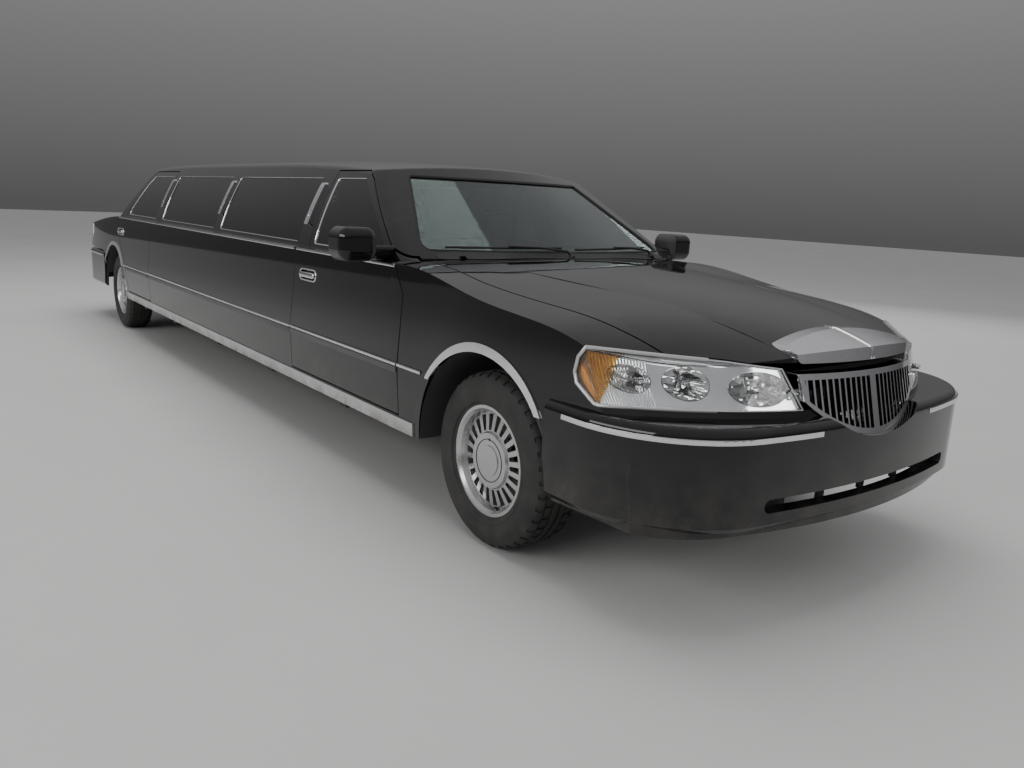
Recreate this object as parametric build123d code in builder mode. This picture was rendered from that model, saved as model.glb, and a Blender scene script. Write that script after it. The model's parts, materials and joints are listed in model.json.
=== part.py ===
from build123d import *
import math
import os

# A stretch limousine. +X is forward, +Y is the car's left, +Z is up. The origin is on the
# ground, below the middle of the car. All sizes are in millimetres.

# Main sizes
WHEELBASE = 6038
FRONT_OVERHANG = 1075
REAR_OVERHANG = 1404
LENGTH = WHEELBASE + FRONT_OVERHANG + REAR_OVERHANG
HALF_WIDTH = 962
FA = LENGTH / 2 - FRONT_OVERHANG      # x of the front axle
RA = FA - WHEELBASE                   # x of the rear axle
FRONT_END = LENGTH / 2
REAR_END = -LENGTH / 2

# Heights above the ground
SILL = 334
ROCKER_TOP = 398
WAIST = 625
BELT = 1052
ROOF = 1550
BUMPER_BOTTOM = 352
BUMPER_TOP = 690
FLOOR_UNDER = 366
FLOOR_TOP = 386

# Walls and gaps
DOOR_WALL = 60
PANEL_WALL = 30
PILLAR_WALL = 46
GLASS = 5
GLASS_SET_BACK = 7
SEAM = 0.5
SEAT_GAP = 0.3
GAP = 7

# Wheels
TYRE_RADIUS = 350
TYRE_HALF_WIDTH = 112
RIM_RADIUS = 219
HALF_TRACK = 805
ARCH_RADIUS = 428
LIP_WIDTH = 44
HUB_BORE = 30
KINGPIN_Y = 712
SLOTS = 22

# Cross sections of the lower body: distance ahead of an axle, half width at the waist,
# height of the waist, of the shoulder and of the crown, and radius of the shoulder
NOSE_SECTIONS = [
    (1080, 880, 450, 690, 850, 120),
    (860, 915, 500, 715, 930, 140),
    (560, 930, 560, 875, 990, 180),
    (200, 955, 600, 946, 1032, 170),
    (-300, HALF_WIDTH, WAIST, 1017, 1066, 140),
    (-640, HALF_WIDTH, WAIST, BELT, 1090, 110),
    (-720, HALF_WIDTH, WAIST, BELT, 1090, 110),
]
TAIL_SECTIONS = [
    (520, HALF_WIDTH, WAIST, BELT, 1090, 110),
    (440, HALF_WIDTH, WAIST, BELT, 1090, 110),
    (0, HALF_WIDTH, WAIST, 1040, 1078, 120),
    (-500, 956, WAIST, 1000, 1050, 140),
    (-1000, 935, WAIST, 950, 1012, 150),
    (-1404, 900, WAIST, 905, 975, 150),
]
SILL_TUCK = 12
LEAN = 0.075

# Plans of the two ends above the bumpers: height, x of the nose ahead of the front axle,
# radius of the nose and of its corners, and x of the tail behind the rear axle
END_PLANS = [
    (560, 1060, 2400, 430, 1372),
    (860, 985, 1150, 320, 1330),
    (1120, 925, 1100, 300, 1262),
]
TAIL_RADIUS = 3800
TAIL_CORNER = 200

# Plans of the cabin: height, x of the windscreen behind the front axle, its radius and the
# radius of its pillar, x of the back window from the rear axle, its radius, and half width
CABIN_PLANS = [
    (1030, -466, 1950, 90, -347, 1800, 880),
    (1250, -830, 1700, 85, -22, 1600, 798),
    (1560, -1355, 1350, 80, 455, 1300, 620),
]
REAR_PILLAR = 150
CABIN_SKIRT = 110
CABIN_SLOPE_X = 1.8
CABIN_SLOPE_Y = 1.1

# Crown of the roof: distance ahead of an axle and height
ROOF_FRONT = [(-300, 1410), (-900, 1472), (-1850, 1536), (-2600, ROOF)]
ROOF_REAR = [(1400, ROOF), (775, 1536), (-100, 1478), (-600, 1425)]
ROOF_DROP = 84
ROOF_EDGE = 60
ROOF_HALF = 900


def half_width_at(z):
    """Half width of the doors' outside at a height."""
    levels = [(WAIST, HALF_WIDTH), (BELT, HALF_WIDTH - LEAN * (BELT - WAIST))]
    if z > BELT:
        levels = [(plan[0], plan[6]) for plan in CABIN_PLANS]
    below = [level for level in levels if level[0] <= z] or levels[:1]
    low = below[-1]
    above = [level for level in levels if level[0] > z] or levels[-1:]
    high = above[0]
    if high[0] == low[0]:
        return low[1]
    share = min(1, max(0, (z - low[0]) / (high[0] - low[0])))
    return low[1] + share * (high[1] - low[1])


def body_section(axle, section, inset):
    ahead, half, waist, shoulder, crown, radius = section
    half = half - inset
    shoulder = shoulder - inset
    top = half - LEAN * (shoulder - waist)
    with BuildSketch(Plane.YZ.offset(axle + ahead)) as sketch:
        with BuildLine():
            Line((-half + SILL_TUCK, SILL), (half - SILL_TUCK, SILL))
            for side in (1, -1):
                Line((side * (half - SILL_TUCK), SILL), (side * half, waist))
                Line((side * half, waist), (side * top, shoulder))
            ThreePointArc((top, shoulder), (0, crown - inset), (-top, shoulder))
        make_face()
        corners = sketch.vertices().filter_by(lambda corner: abs(corner.Z - shoulder) < 1)
        fillet(corners, radius - inset)
    return sketch.sketch


def body_form(inset):
    """The lower body without its cabin, as one solid, drawn in by inset."""
    with BuildPart() as form:
        loft(sections=[body_section(FA, section, inset) for section in NOSE_SECTIONS])
        loft(sections=[body_section(RA, section, inset) for section in TAIL_SECTIONS])
        extrude(body_section(FA, NOSE_SECTIONS[-1], inset),
                amount=FA + NOSE_SECTIONS[-1][0] - RA - TAIL_SECTIONS[0][0], dir=(-1, 0, 0))
    return form.part


def plan_end(end, radius, corner, half, side):
    """Points of one rounded end of a plan: edge of its front arc, middle and end of its corner."""
    centre = end - side * radius
    corner_x = centre + side * math.sqrt((radius - corner) ** 2 - (half - corner) ** 2)
    turn = math.atan2(half - corner, abs(corner_x - centre))
    edge = (centre + side * radius * math.cos(turn), radius * math.sin(turn))
    middle = (turn + math.pi / 2) / 2
    bend = (corner_x + side * corner * math.cos(middle), half - corner + corner * math.sin(middle))
    return edge, bend, (corner_x, half)


def plan_outline(z, front, rear, half):
    """A plan with two rounded ends. Each end is its x, its radius and its corner radius."""
    front_points = plan_end(*front, half, 1)
    rear_points = plan_end(*rear, half, -1)
    with BuildSketch(Plane.XY.offset(z)) as sketch:
        with BuildLine():
            for end, points in ((front, front_points), (rear, rear_points)):
                edge, bend, side_point = points
                ThreePointArc((edge[0], -edge[1]), (end[0], 0), edge)
                for side in (1, -1):
                    ThreePointArc((edge[0], side * edge[1]), (bend[0], side * bend[1]),
                                  (side_point[0], side * half))
            for side in (1, -1):
                Line((front_points[2][0], side * half), (rear_points[2][0], side * half))
        make_face()
    return sketch.sketch


def ends_form(inset):
    """What the two ends above the bumpers are trimmed to, drawn in by inset."""
    with BuildPart() as form:
        loft(sections=[
            plan_outline(z, (FA + nose - inset, radius - inset, corner - inset),
                         (RA - tail + inset, TAIL_RADIUS - inset, TAIL_CORNER - inset),
                         HALF_WIDTH + 20)
            for z, nose, radius, corner, tail in END_PLANS
        ])
        low_nose, low_tail = END_PLANS[0][1], END_PLANS[0][4]
        extrude(plan_outline(SILL - 10, (FA + low_nose - inset, END_PLANS[0][2] - inset,
                                         END_PLANS[0][3] - inset),
                             (RA - low_tail + inset, TAIL_RADIUS - inset, TAIL_CORNER - inset),
                             HALF_WIDTH + 20), amount=END_PLANS[0][0] - SILL + 10)
    return form.part


def bumper_form(inset, top):
    """The bumpers' outside, drawn in by inset."""
    with BuildPart() as form:
        extrude(plan_outline(BUMPER_BOTTOM, (FRONT_END - inset, 3200 - inset, 450 - inset),
                             (REAR_END + inset, 4200 - inset, 380 - inset),
                             HALF_WIDTH - inset), amount=top - BUMPER_BOTTOM)
    return form.part


def cabin_form(inset):
    """The cabin above the belt, drawn in by inset: its plans, below the crown of its roof."""
    with BuildPart() as form:
        loft(sections=[
            plan_outline(z, (FA + front - CABIN_SLOPE_X * inset, radius, max(20, pillar - inset)),
                         (RA + rear + CABIN_SLOPE_X * inset, rear_radius, REAR_PILLAR - inset),
                         half - CABIN_SLOPE_Y * inset)
            for z, front, radius, pillar, rear, rear_radius, half in CABIN_PLANS
        ])
        low_z, front, radius, pillar, rear, rear_radius, half = CABIN_PLANS[0]
        extrude(plan_outline(low_z - CABIN_SKIRT,
                             (FA + front - CABIN_SLOPE_X * inset, radius, max(20, pillar - inset)),
                             (RA + rear + CABIN_SLOPE_X * inset, rear_radius,
                              REAR_PILLAR - inset), half - CABIN_SLOPE_Y * inset),
                amount=CABIN_SKIRT)
        add(roof_form(inset), mode=Mode.INTERSECT)
        edges = form.edges().filter_by(lambda edge: edge.length > WHEELBASE / 2
                                       and edge.center().Z > 1400)
        fillet(edges, ROOF_EDGE - inset)
    return form.part


def roof_section(x, z):
    edge = z - ROOF_DROP
    with BuildSketch(Plane.YZ.offset(x)) as sketch:
        with BuildLine():
            Polyline((ROOF_HALF, edge), (ROOF_HALF, WAIST), (-ROOF_HALF, WAIST), (-ROOF_HALF, edge))
            ThreePointArc((ROOF_HALF, edge), (0, z), (-ROOF_HALF, edge))
        make_face()
    return sketch.sketch


def roof_form(inset):
    """Everything below the roof's crown."""
    with BuildPart() as form:
        loft(sections=[roof_section(FA + x, z - inset) for x, z in ROOF_FRONT]
             + [roof_section(RA + x, z - inset) for x, z in ROOF_REAR])
    return form.part


def side_cutter(points, near, far, grow=0, corner=0, slant=0):
    """An outline of x and z, run from y = near to y = far and moved forward by slant times that."""
    with BuildPart() as cutter:
        with BuildSketch(Plane.XZ.offset(-near)) as outline:
            with BuildLine():
                Polyline(*points, close=True)
            make_face()
            if corner:
                fillet(outline.vertices(), corner)
            if grow:
                offset(amount=grow, kind=Kind.INTERSECTION)
        run = far - near
        length = math.hypot(run, slant * run)
        extrude(amount=length, dir=(slant * abs(run) / length, run / length, 0))
    return cutter.part


def front_cutter(points, near, far, grow=0, corner=0):
    """An outline of y and z, run from x = near to x = far."""
    with BuildPart() as cutter:
        with BuildSketch(Plane.YZ.offset(near)) as outline:
            with BuildLine():
                Polyline(*points, close=True)
            make_face()
            if corner:
                fillet(outline.vertices(), corner)
            if grow:
                offset(amount=grow, kind=Kind.INTERSECTION)
        extrude(amount=far - near)
    return cutter.part


def plan_cutter(points, low, high, grow=0):
    """An outline of x and y, run from z = low to z = high."""
    with BuildPart() as cutter:
        with BuildSketch(Plane.XY.offset(low)):
            with BuildLine():
                Polyline(*points, close=True)
            make_face()
            if grow:
                offset(amount=grow, kind=Kind.INTERSECTION)
        extrude(amount=high - low)
    return cutter.part


def block(x0, x1, y0, y1, z0, z1):
    """A box between two corners."""
    with BuildPart() as box:
        with BuildSketch(Plane.XY.offset(z0)):
            with Locations(((x0 + x1) / 2, (y0 + y1) / 2)):
                Rectangle(x1 - x0, y1 - y0)
        extrude(amount=z1 - z0)
    return box.part


def rod(x, y0, y1, z, radius):
    """A round bar across the car."""
    with BuildPart() as bar:
        with BuildSketch(Plane.XZ.offset(-y0)):
            with Locations((x, z)):
                Circle(radius)
        extrude(amount=y1 - y0, dir=(0, 1, 0))
    return bar.part


def both_sides(part):
    """A part on the car's right side, with its mirror image."""
    with BuildPart() as pair:
        add(part)
        mirror(part, about=Plane.XZ)
    return pair.part


os.makedirs("parts", exist_ok=True)


def keep(part, name):
    part.label = name
    export_step(part, "parts/" + name + ".step")


# Whole forms that the panels are cut from
skin_body = body_form(0)
skin_ends = ends_form(0)
core_body = body_form(DOOR_WALL)
core_ends = ends_form(DOOR_WALL)
panel_body = body_form(PANEL_WALL)
panel_ends = ends_form(PANEL_WALL)
skin_cabin = cabin_form(0)
core_cabin = cabin_form(PILLAR_WALL)

with BuildPart() as skin:
    add(skin_body)
    add(skin_ends, mode=Mode.INTERSECT)

with BuildPart() as core:
    add(core_body)
    add(core_ends, mode=Mode.INTERSECT)

with BuildPart() as panel_core:
    add(panel_body)
    add(panel_ends, mode=Mode.INTERSECT)

with BuildPart() as room:
    add(core.part)
    add(core_cabin)

with BuildPart() as shell:
    add(skin.part)
    add(skin_cabin)
    add(room.part, mode=Mode.SUBTRACT)

with BuildPart() as panels:
    add(skin.part)
    add(panel_core.part, mode=Mode.SUBTRACT)

# Outlines in side view: distance from an axle, and height
DOOR_BOTTOM = ROCKER_TOP
DOOR_TOP = 1462
FRONT_DOOR = [(-600, DOOR_BOTTOM), (-600, 930), (-692, BELT), (-862, 1118), (-1308, 1415),
              (-1395, DOOR_TOP), (-1752, DOOR_TOP), (-1760, BELT), (-1772, 930), (-1790, 640),
              (-1790, DOOR_BOTTOM)]
REAR_DOOR = [(1268, DOOR_BOTTOM), (1268, 640), (1278, 930), (1288, BELT), (1296, DOOR_TOP),
             (640, DOOR_TOP), (545, 1400), (178, BELT), (150, 930), (215, 830), (395, 672),
             (478, 540), (505, DOOR_BOTTOM)]
DOOR_SLANT = 0.42
WINDOW_CORNER = 24
FRONT_WINDOW = [(-868, BELT + 18), (-1085, 1226), (-1392, 1420), (-1715, 1420), (-1690, BELT + 18)]
REAR_WINDOW = [(1205, BELT + 18), (1232, 1420), (640, 1420), (545, 1352), (262, BELT + 18)]
LAMP_WIDTH = 62
PILLAR = 58


def door_points(axle, points):
    """A door's outline where its slanted edges meet the plane of the widest side."""
    return [(axle + x - DOOR_SLANT * (HALF_WIDTH - half_width_at(z)), z) for x, z in points]


OUTSIDE = HALF_WIDTH + 40
CABIN_INSIDE = 420
DOOR_DEPTH = [(-815, SILL - 4), (-789, 1105), (-737, 1250), (-612, DOOR_TOP + 13)]
LEAF_CLEAR = 14


def door_cutter(axle, points, grow, clear):
    """A door's outline run inwards, as far as the limit of y and z less a clearance."""
    start = HALF_WIDTH
    depth = [(y - clear, z) for y, z in DOOR_DEPTH]
    limit = [(-OUTSIDE, SILL - 4)] + depth + [(-OUTSIDE, DOOR_TOP + 13)]
    with BuildPart() as cutter:
        add(side_cutter(door_points(axle, points), -start, -CABIN_INSIDE, grow=grow,
                        slant=DOOR_SLANT))
        add(side_cutter(door_points(axle, points), -start, -OUTSIDE, grow=grow, slant=-DOOR_SLANT))
        add(front_cutter(limit, REAR_END, FRONT_END), mode=Mode.INTERSECT)
    return cutter.part


front_opening = door_cutter(FA, FRONT_DOOR, 0, 0)
front_leaf = door_cutter(FA, FRONT_DOOR, -GAP, LEAF_CLEAR)
rear_opening = door_cutter(RA, REAR_DOOR, 0, 0)
rear_leaf = door_cutter(RA, REAR_DOOR, -GAP, LEAF_CLEAR)


def at(axle, points):
    return [(axle + x, z) for x, z in points]


def window_cutter(points, grow):
    return side_cutter(points, -CABIN_INSIDE, -OUTSIDE, grow=grow, corner=WINDOW_CORNER)


# The stretch's fixed windows, between the doors, with a lamp between each two
STRETCH_FRONT = FA - 1790
STRETCH_REAR = RA + 1268
LAMP_X = [STRETCH_FRONT - 42, (STRETCH_FRONT + STRETCH_REAR) / 2, STRETCH_REAR + 52]
STRETCH_WINDOWS = [
    [(LAMP_X[1] + PILLAR, BELT + 18), (LAMP_X[1] + PILLAR, 1420), (LAMP_X[0] - PILLAR, 1420),
     (LAMP_X[0] - PILLAR, BELT + 18)],
    [(LAMP_X[2] + PILLAR, BELT + 18), (LAMP_X[2] + PILLAR, 1420), (LAMP_X[1] - PILLAR, 1420),
     (LAMP_X[1] - PILLAR, BELT + 18)],
]
WINDSCREEN = [(-765, 1102), (-545, 1438), (545, 1438), (765, 1102)]
BACK_WINDOW = [(-715, 1108), (-520, 1430), (520, 1430), (715, 1108)]

# Plan outlines: hood, cowl and trunk lid
HOOD_SIDE = [(-690, 792), (-206, 800), (186, 770), (510, 735), (680, 708), (1100, 690)]
HOOD_BACK = [(-560, 500), (-505, 0)]
HOOD_FRONT_EDGE = 862


def mirrored(points):
    """An outline's points from one side of the middle line, followed round to the other side."""
    middle = [point for point in points if point[1] == 0]
    off_middle = [point for point in points if point[1] != 0]
    return off_middle + middle + [(x, -y) for x, y in reversed(off_middle)]


hood_plan = [(FA + x, y) for x, y in mirrored(list(reversed(HOOD_SIDE)) + HOOD_BACK)]
hood_leaf = plan_cutter(hood_plan, HOOD_FRONT_EDGE, 1300, grow=-GAP / 2)
hood_opening = plan_cutter(hood_plan, SILL - 50, 1300, grow=GAP / 2)

LID_FRONT = RA - 372
LID_HALF = 690
LID_BOTTOM = 770
lid_plan = [(LID_FRONT, -LID_HALF), (LID_FRONT, LID_HALF), (REAR_END - 50, LID_HALF - 70),
            (REAR_END - 50, -LID_HALF + 70)]
lid_leaf = plan_cutter(lid_plan, LID_BOTTOM, 1300, grow=-GAP)
lid_opening = plan_cutter(lid_plan, LID_BOTTOM - GAP, 1300)

# Lines where the fixed panels meet
FENDER_BACK = [(-600, SILL - 20), (-600, 930), (-692, BELT), (-692, 1300), (1200, 1300),
               (1200, SILL - 20)]
FRONT_BUMPER_ZONE = [(405, 300), (405, 695), (520, 705), (600, 712), (1200, 712), (1200, 300)]
REAR_BUMPER_ZONE = [(-405, 300), (-405, 690), (-520, 700), (-1600, 700), (-1600, 300)]
LAMP_SIDE = [(498, 800), (512, 765), (600, 712), (1200, 712), (1200, 900), (545, 900), (505, 850)]
LAMP_FRONT = [(333, 700), (398, 843), (560, 862), (700, 870), (1010, 893), (1010, 700)]
TAIL_LAMP_SIDE = [(-1130, 790), (-1130, 925), (-1500, 905), (-1500, 780)]
TAIL_LAMP_INNER = 640

fender_zone = side_cutter(at(FA, FENDER_BACK), -OUTSIDE, OUTSIDE)
front_bumper_zone = side_cutter(at(FA, FRONT_BUMPER_ZONE), -OUTSIDE, OUTSIDE)
front_bumper_room = side_cutter(at(FA, FRONT_BUMPER_ZONE), -OUTSIDE, OUTSIDE, grow=SEAM)
rear_bumper_zone = side_cutter(at(RA, REAR_BUMPER_ZONE), -OUTSIDE, OUTSIDE)
rear_bumper_room = side_cutter(at(RA, REAR_BUMPER_ZONE), -OUTSIDE, OUTSIDE, grow=SEAM)


def lamp_cutter(grow):
    front = front_cutter([(-y, z) for y, z in LAMP_FRONT], FA + 300, FRONT_END + 50, grow=grow)
    side = side_cutter(at(FA, LAMP_SIDE), -OUTSIDE, 0, grow=grow)
    with BuildPart() as cutter:
        add(front)
        add(side, mode=Mode.INTERSECT)
    return cutter.part


lamp_zone = lamp_cutter(0)
lamp_room = both_sides(lamp_cutter(SEAM))
lamp_gap = both_sides(lamp_cutter(GAP))
tail_lamp_zone = side_cutter(at(RA, TAIL_LAMP_SIDE), -OUTSIDE, -TAIL_LAMP_INNER)
tail_lamp_room = both_sides(side_cutter(at(RA, TAIL_LAMP_SIDE), -OUTSIDE, -TAIL_LAMP_INNER,
                                        grow=SEAM))


def arch_cutter(axle, radius, inner, outer):
    """The round opening of a wheel arch on the right side, open below."""
    with BuildPart() as cutter:
        with BuildSketch(Plane.XZ.offset(inner)):
            with Locations((axle, TYRE_RADIUS)):
                Circle(radius)
            with Locations((axle, TYRE_RADIUS / 2)):
                Rectangle(2 * radius, TYRE_RADIUS)
        extrude(amount=outer - inner)
    return cutter.part


TUB_INNER = 540
TUB_WALL = 8
front_arches = both_sides(arch_cutter(FA, ARCH_RADIUS, TUB_INNER - 60, OUTSIDE))
rear_arches = both_sides(arch_cutter(RA, ARCH_RADIUS, TUB_INNER, OUTSIDE))
front_tub = arch_cutter(FA, ARCH_RADIUS + TUB_WALL, TUB_INNER - 20, HALF_WIDTH - PANEL_WALL)
with BuildPart() as rear_tub:
    add(arch_cutter(RA, ARCH_RADIUS + TUB_WALL, TUB_INNER - TUB_WALL, HALF_WIDTH - DOOR_WALL))
    add(block(RA - 2 * ARCH_RADIUS, RA + 2 * ARCH_RADIUS, -OUTSIDE, OUTSIDE, -ARCH_RADIUS,
              TYRE_RADIUS + 64), mode=Mode.SUBTRACT)

# The grille's outline in front view, and the chrome header over it
GRILLE_HALF = 348
GRILLE_TOP = 828
GRILLE_BOTTOM = 612
GRILLE_KNEE = 700
GRILLE_FRAME = 20
BARS = 24
BAR_WIDTH = 8
MIDDLE_BAR = 22


def grille_outline(near, far, inset):
    top, half = GRILLE_TOP - inset, GRILLE_HALF - inset
    with BuildPart() as cutter:
        with BuildSketch(Plane.YZ.offset(near)):
            with BuildLine():
                Line((-half, top), (half, top))
                for side in (1, -1):
                    Line((side * half, top), (side * (half - 12), GRILLE_KNEE + 40))
                ThreePointArc((-half + 12, GRILLE_KNEE + 40), (0, GRILLE_BOTTOM + inset),
                              (half - 12, GRILLE_KNEE + 40))
            make_face()
        extrude(amount=far - near)
    return cutter.part


grille_room = grille_outline(FA + 600, FRONT_END + 60, -SEAM)
grille_outer = grille_outline(FA + 700, FRONT_END + 60, 0)
grille_inner = grille_outline(FA + 700, FRONT_END + 60, GRILLE_FRAME)

# Hinges of the hood and the trunk lid: pins across pockets in the body, with eyes round them.
# Each is the pin's x, y and z, and which way its leaf lies.
HOOD_HINGE = (FA - 640, 610, 1055, 1)
LID_HINGE = (RA - 352, 350, 1040, -1)
PIN_RADIUS = 5
EYE_RADIUS = 10
EYE_WIDTH = 18
STRAP_HALF = 7
STRAP_LONG = 56


def hinge_pocket(x, y, z, way):
    half = EYE_WIDTH / 2 + GAP
    ends = sorted((x - way * (EYE_RADIUS + GAP), x + way * STRAP_LONG))
    return both_sides(block(*ends, -y - half, -y + half, z - EYE_RADIUS - GAP, z + 3 * EYE_RADIUS))


def hinge_pin(x, y, z, way):
    half = EYE_WIDTH / 2 + GAP + 2
    return both_sides(rod(x, -y - half, -y + half, z, PIN_RADIUS))


def hinge_eye(x, y, z, way):
    half = EYE_WIDTH / 2
    with BuildPart() as eye:
        add(rod(x, -y - half, -y + half, z, EYE_RADIUS))
        add(block(*sorted((x, x + way * STRAP_LONG)), -y - half, -y + half, z - STRAP_HALF,
                  z + STRAP_HALF))
        add(rod(x, -y - half - 1, -y + half + 1, z, PIN_RADIUS + SEAT_GAP), mode=Mode.SUBTRACT)
    return both_sides(eye.part)


# Raised middle of the hood: distance ahead of the front axle, half width and rise above the skin
HOOD_DOME = [(900, 352, 3), (560, 396, 13), (200, 446, 16), (-300, 530, 12), (-560, 575, 4)]


def crown_at(ahead, y):
    """Height of the skin at a distance ahead of the front axle."""
    rows = sorted(NOSE_SECTIONS)
    low = [row for row in rows if row[0] <= ahead][-1]
    high = [row for row in rows if row[0] > ahead][0]
    share = (ahead - low[0]) / (high[0] - low[0])
    half, waist, shoulder, crown = [a + share * (b - a) for a, b in zip(low[1:5], high[1:5])]
    top = half - LEAN * (shoulder - waist)
    return crown - (crown - shoulder) * (y / top) ** 2


def dome_section(ahead, half, rise):
    edge, middle = crown_at(ahead, half), crown_at(ahead, 0) + rise
    with BuildSketch(Plane.YZ.offset(FA + ahead)) as sketch:
        with BuildLine():
            Polyline((half, edge), (half, edge - PANEL_WALL), (-half, edge - PANEL_WALL),
                     (-half, edge))
            ThreePointArc((half, edge), (0, middle), (-half, edge))
        make_face()
    return sketch.sketch


with BuildPart() as dome:
    loft(sections=[dome_section(*row) for row in HOOD_DOME])
    add(panel_core.part, mode=Mode.SUBTRACT)
    add(skin_ends, mode=Mode.INTERSECT)
    add(hood_leaf, mode=Mode.INTERSECT)

# Hood, with its header
with BuildPart() as hood:
    add(panels.part)
    add(hood_leaf, mode=Mode.INTERSECT)
    add(grille_room, mode=Mode.SUBTRACT)
    add(lamp_gap, mode=Mode.SUBTRACT)
    add(dome.part)
    add(hinge_eye(*HOOD_HINGE))
keep(hood.part, "hood")

HEADER_HALF = 352
HEADER_TOP = 948
HEADER_END = 908
HEADER_CORNER = 19
HEADER_PROUD = 16
proud_body = body_form(-HEADER_PROUD)
proud_ends = ends_form(-HEADER_PROUD)
with BuildPart() as header_cutter:
    with BuildSketch(Plane.YZ.offset(FA + 780)):
        with BuildLine():
            Line((-HEADER_HALF, HOOD_FRONT_EDGE), (HEADER_HALF, HOOD_FRONT_EDGE))
            for side in (1, -1):
                Line((side * HEADER_HALF, HOOD_FRONT_EDGE), (side * HEADER_HALF, HEADER_END))
            ThreePointArc((-HEADER_HALF, HEADER_END), (0, HEADER_TOP), (HEADER_HALF, HEADER_END))
        face = make_face()
        fillet(face.vertices(), HEADER_CORNER)
    extrude(amount=400)
with BuildPart() as hood_header:
    add(proud_body)
    add(proud_ends, mode=Mode.INTERSECT)
    add(header_cutter.part, mode=Mode.INTERSECT)
    add(skin.part, mode=Mode.SUBTRACT)
    add(dome.part, mode=Mode.SUBTRACT)
keep(hood_header.part, "hood_header")

# Front fenders with their wheel arch liners
cowl_plan = [(FA + x, y) for x, y in
             mirrored([(-900, 820), (-680, 820), (-550, 500), (-495, 0)])]
COWL_BOTTOM = 960
# How much further back the cowl's edge lies, for the hood's rear edge swings back as it lifts
COWL_SET_BACK = 14
cowl_zone = plan_cutter(cowl_plan, COWL_BOTTOM, 1300)
cowl_room = plan_cutter(cowl_plan, COWL_BOTTOM, 1300, grow=SEAM)
cowl_opening = plan_cutter([(x - COWL_SET_BACK, y) for x, y in hood_plan], COWL_BOTTOM - 20, 1300,
                           grow=GAP / 2)
with BuildPart() as fender:
    add(panels.part)
    add(block(FA - 700, FRONT_END, -OUTSIDE, -400, SILL - 5, 1200), mode=Mode.INTERSECT)
    add(fender_zone, mode=Mode.INTERSECT)
    add(hood_opening, mode=Mode.SUBTRACT)
    add(cowl_room, mode=Mode.SUBTRACT)
    add(front_opening, mode=Mode.SUBTRACT)
    add(front_tub)
    add(front_arches, mode=Mode.SUBTRACT)
    add(front_bumper_room, mode=Mode.SUBTRACT)
    add(lamp_room, mode=Mode.SUBTRACT)
    add(block(FA - 700, FRONT_END, -OUTSIDE, -400, -ARCH_RADIUS, SILL), mode=Mode.SUBTRACT)
keep(both_sides(fender.part), "front_fenders")

# Bumper covers
bumper_skin = bumper_form(0, BUMPER_TOP)
BUMPER_WALL = 36
BUMPER_LEDGE = 150
with BuildPart() as bumpers:
    add(bumper_skin)
    top_edges = bumpers.edges().group_by(Axis.Z)[-1]
    fillet(top_edges, 34)
    low_edges = bumpers.edges().group_by(Axis.Z)[0]
    chamfer(low_edges, 22)
    add(bumper_form(BUMPER_WALL, BUMPER_TOP - BUMPER_WALL), mode=Mode.SUBTRACT)
    add(bumper_form(BUMPER_LEDGE, BUMPER_TOP + 1), mode=Mode.SUBTRACT)

INTAKE_HALF = 560
with BuildPart() as front_bumper:
    add(bumpers.part)
    add(panels.part)
    add(front_bumper_zone, mode=Mode.INTERSECT)
    add(lamp_room, mode=Mode.SUBTRACT)
    add(grille_room, mode=Mode.SUBTRACT)
    add(front_arches, mode=Mode.SUBTRACT)
    with BuildSketch(Plane.YZ.offset(FA + 800)):
        with Locations((0, 434)):
            SlotOverall(2 * INTAKE_HALF, 46)
    extrude(amount=400, mode=Mode.SUBTRACT)
keep(front_bumper.part, "front_bumper")

PLATE_HOLES_Y = 178
PLATE_HOLES_Z = 121
PLATE_Z = 520
PLATE_HOLE = 3.3
with BuildPart() as rear_bumper:
    add(bumpers.part)
    add(rear_bumper_zone, mode=Mode.INTERSECT)
    add(rear_arches, mode=Mode.SUBTRACT)
    with BuildSketch(Plane.YZ.offset(REAR_END)):
        with Locations((0, PLATE_Z)):
            Rectangle(330, 180)
    extrude(amount=BUMPER_WALL + 4)
    with BuildSketch(Plane.YZ.offset(REAR_END - 1)):
        with Locations((0, PLATE_Z)):
            with GridLocations(PLATE_HOLES_Y, PLATE_HOLES_Z, 2, 2):
                Circle(PLATE_HOLE)
    extrude(amount=60, mode=Mode.SUBTRACT)
keep(rear_bumper.part, "rear_bumper")

# Grille: a frame with upright bars, on the face that the nose is trimmed to
GRILLE_PROUD = 10
GRILLE_DEEP = 32
with BuildPart() as grille_slots:
    add(grille_inner)
    with BuildSketch(Plane.YZ.offset(FA + 690)):
        with Locations((0, (GRILLE_TOP + GRILLE_BOTTOM) / 2)):
            with GridLocations(2 * GRILLE_HALF / (BARS + 1), 0, BARS, 1):
                Rectangle(BAR_WIDTH, 400)
            Rectangle(MIDDLE_BAR, 400)
    extrude(amount=FRONT_OVERHANG, mode=Mode.SUBTRACT)
with BuildPart() as grille:
    add(ends_form(-GRILLE_PROUD))
    add(grille_outer, mode=Mode.INTERSECT)
    add(ends_form(GRILLE_DEEP), mode=Mode.SUBTRACT)
    add(grille_slots.part, mode=Mode.SUBTRACT)
keep(grille.part, "radiator_grille")

# Lamps
LAMP_DEEP = 90
lamp_core_body = body_form(LAMP_DEEP)
lamp_core_ends = ends_form(LAMP_DEEP)
with BuildPart() as lamp_core:
    add(lamp_core_body)
    add(lamp_core_ends, mode=Mode.INTERSECT)
# A headlamp is a housing with bowls for its lights, behind a lens. Each bowl is an ellipse:
# y, z, half width and half height in front view, depth, and x of its mouth ahead of the axle
LENS = 4
LENS_AIR = 14
BOWLS = [(470, 776, 96, 54, 46, 930), (372, 775, 22, 34, 30, 975), (680, 790, 62, 52, 60, 800),
         (818, 796, 50, 44, 44, 690)]
BOWL_FLOOR = 0.55


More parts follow.
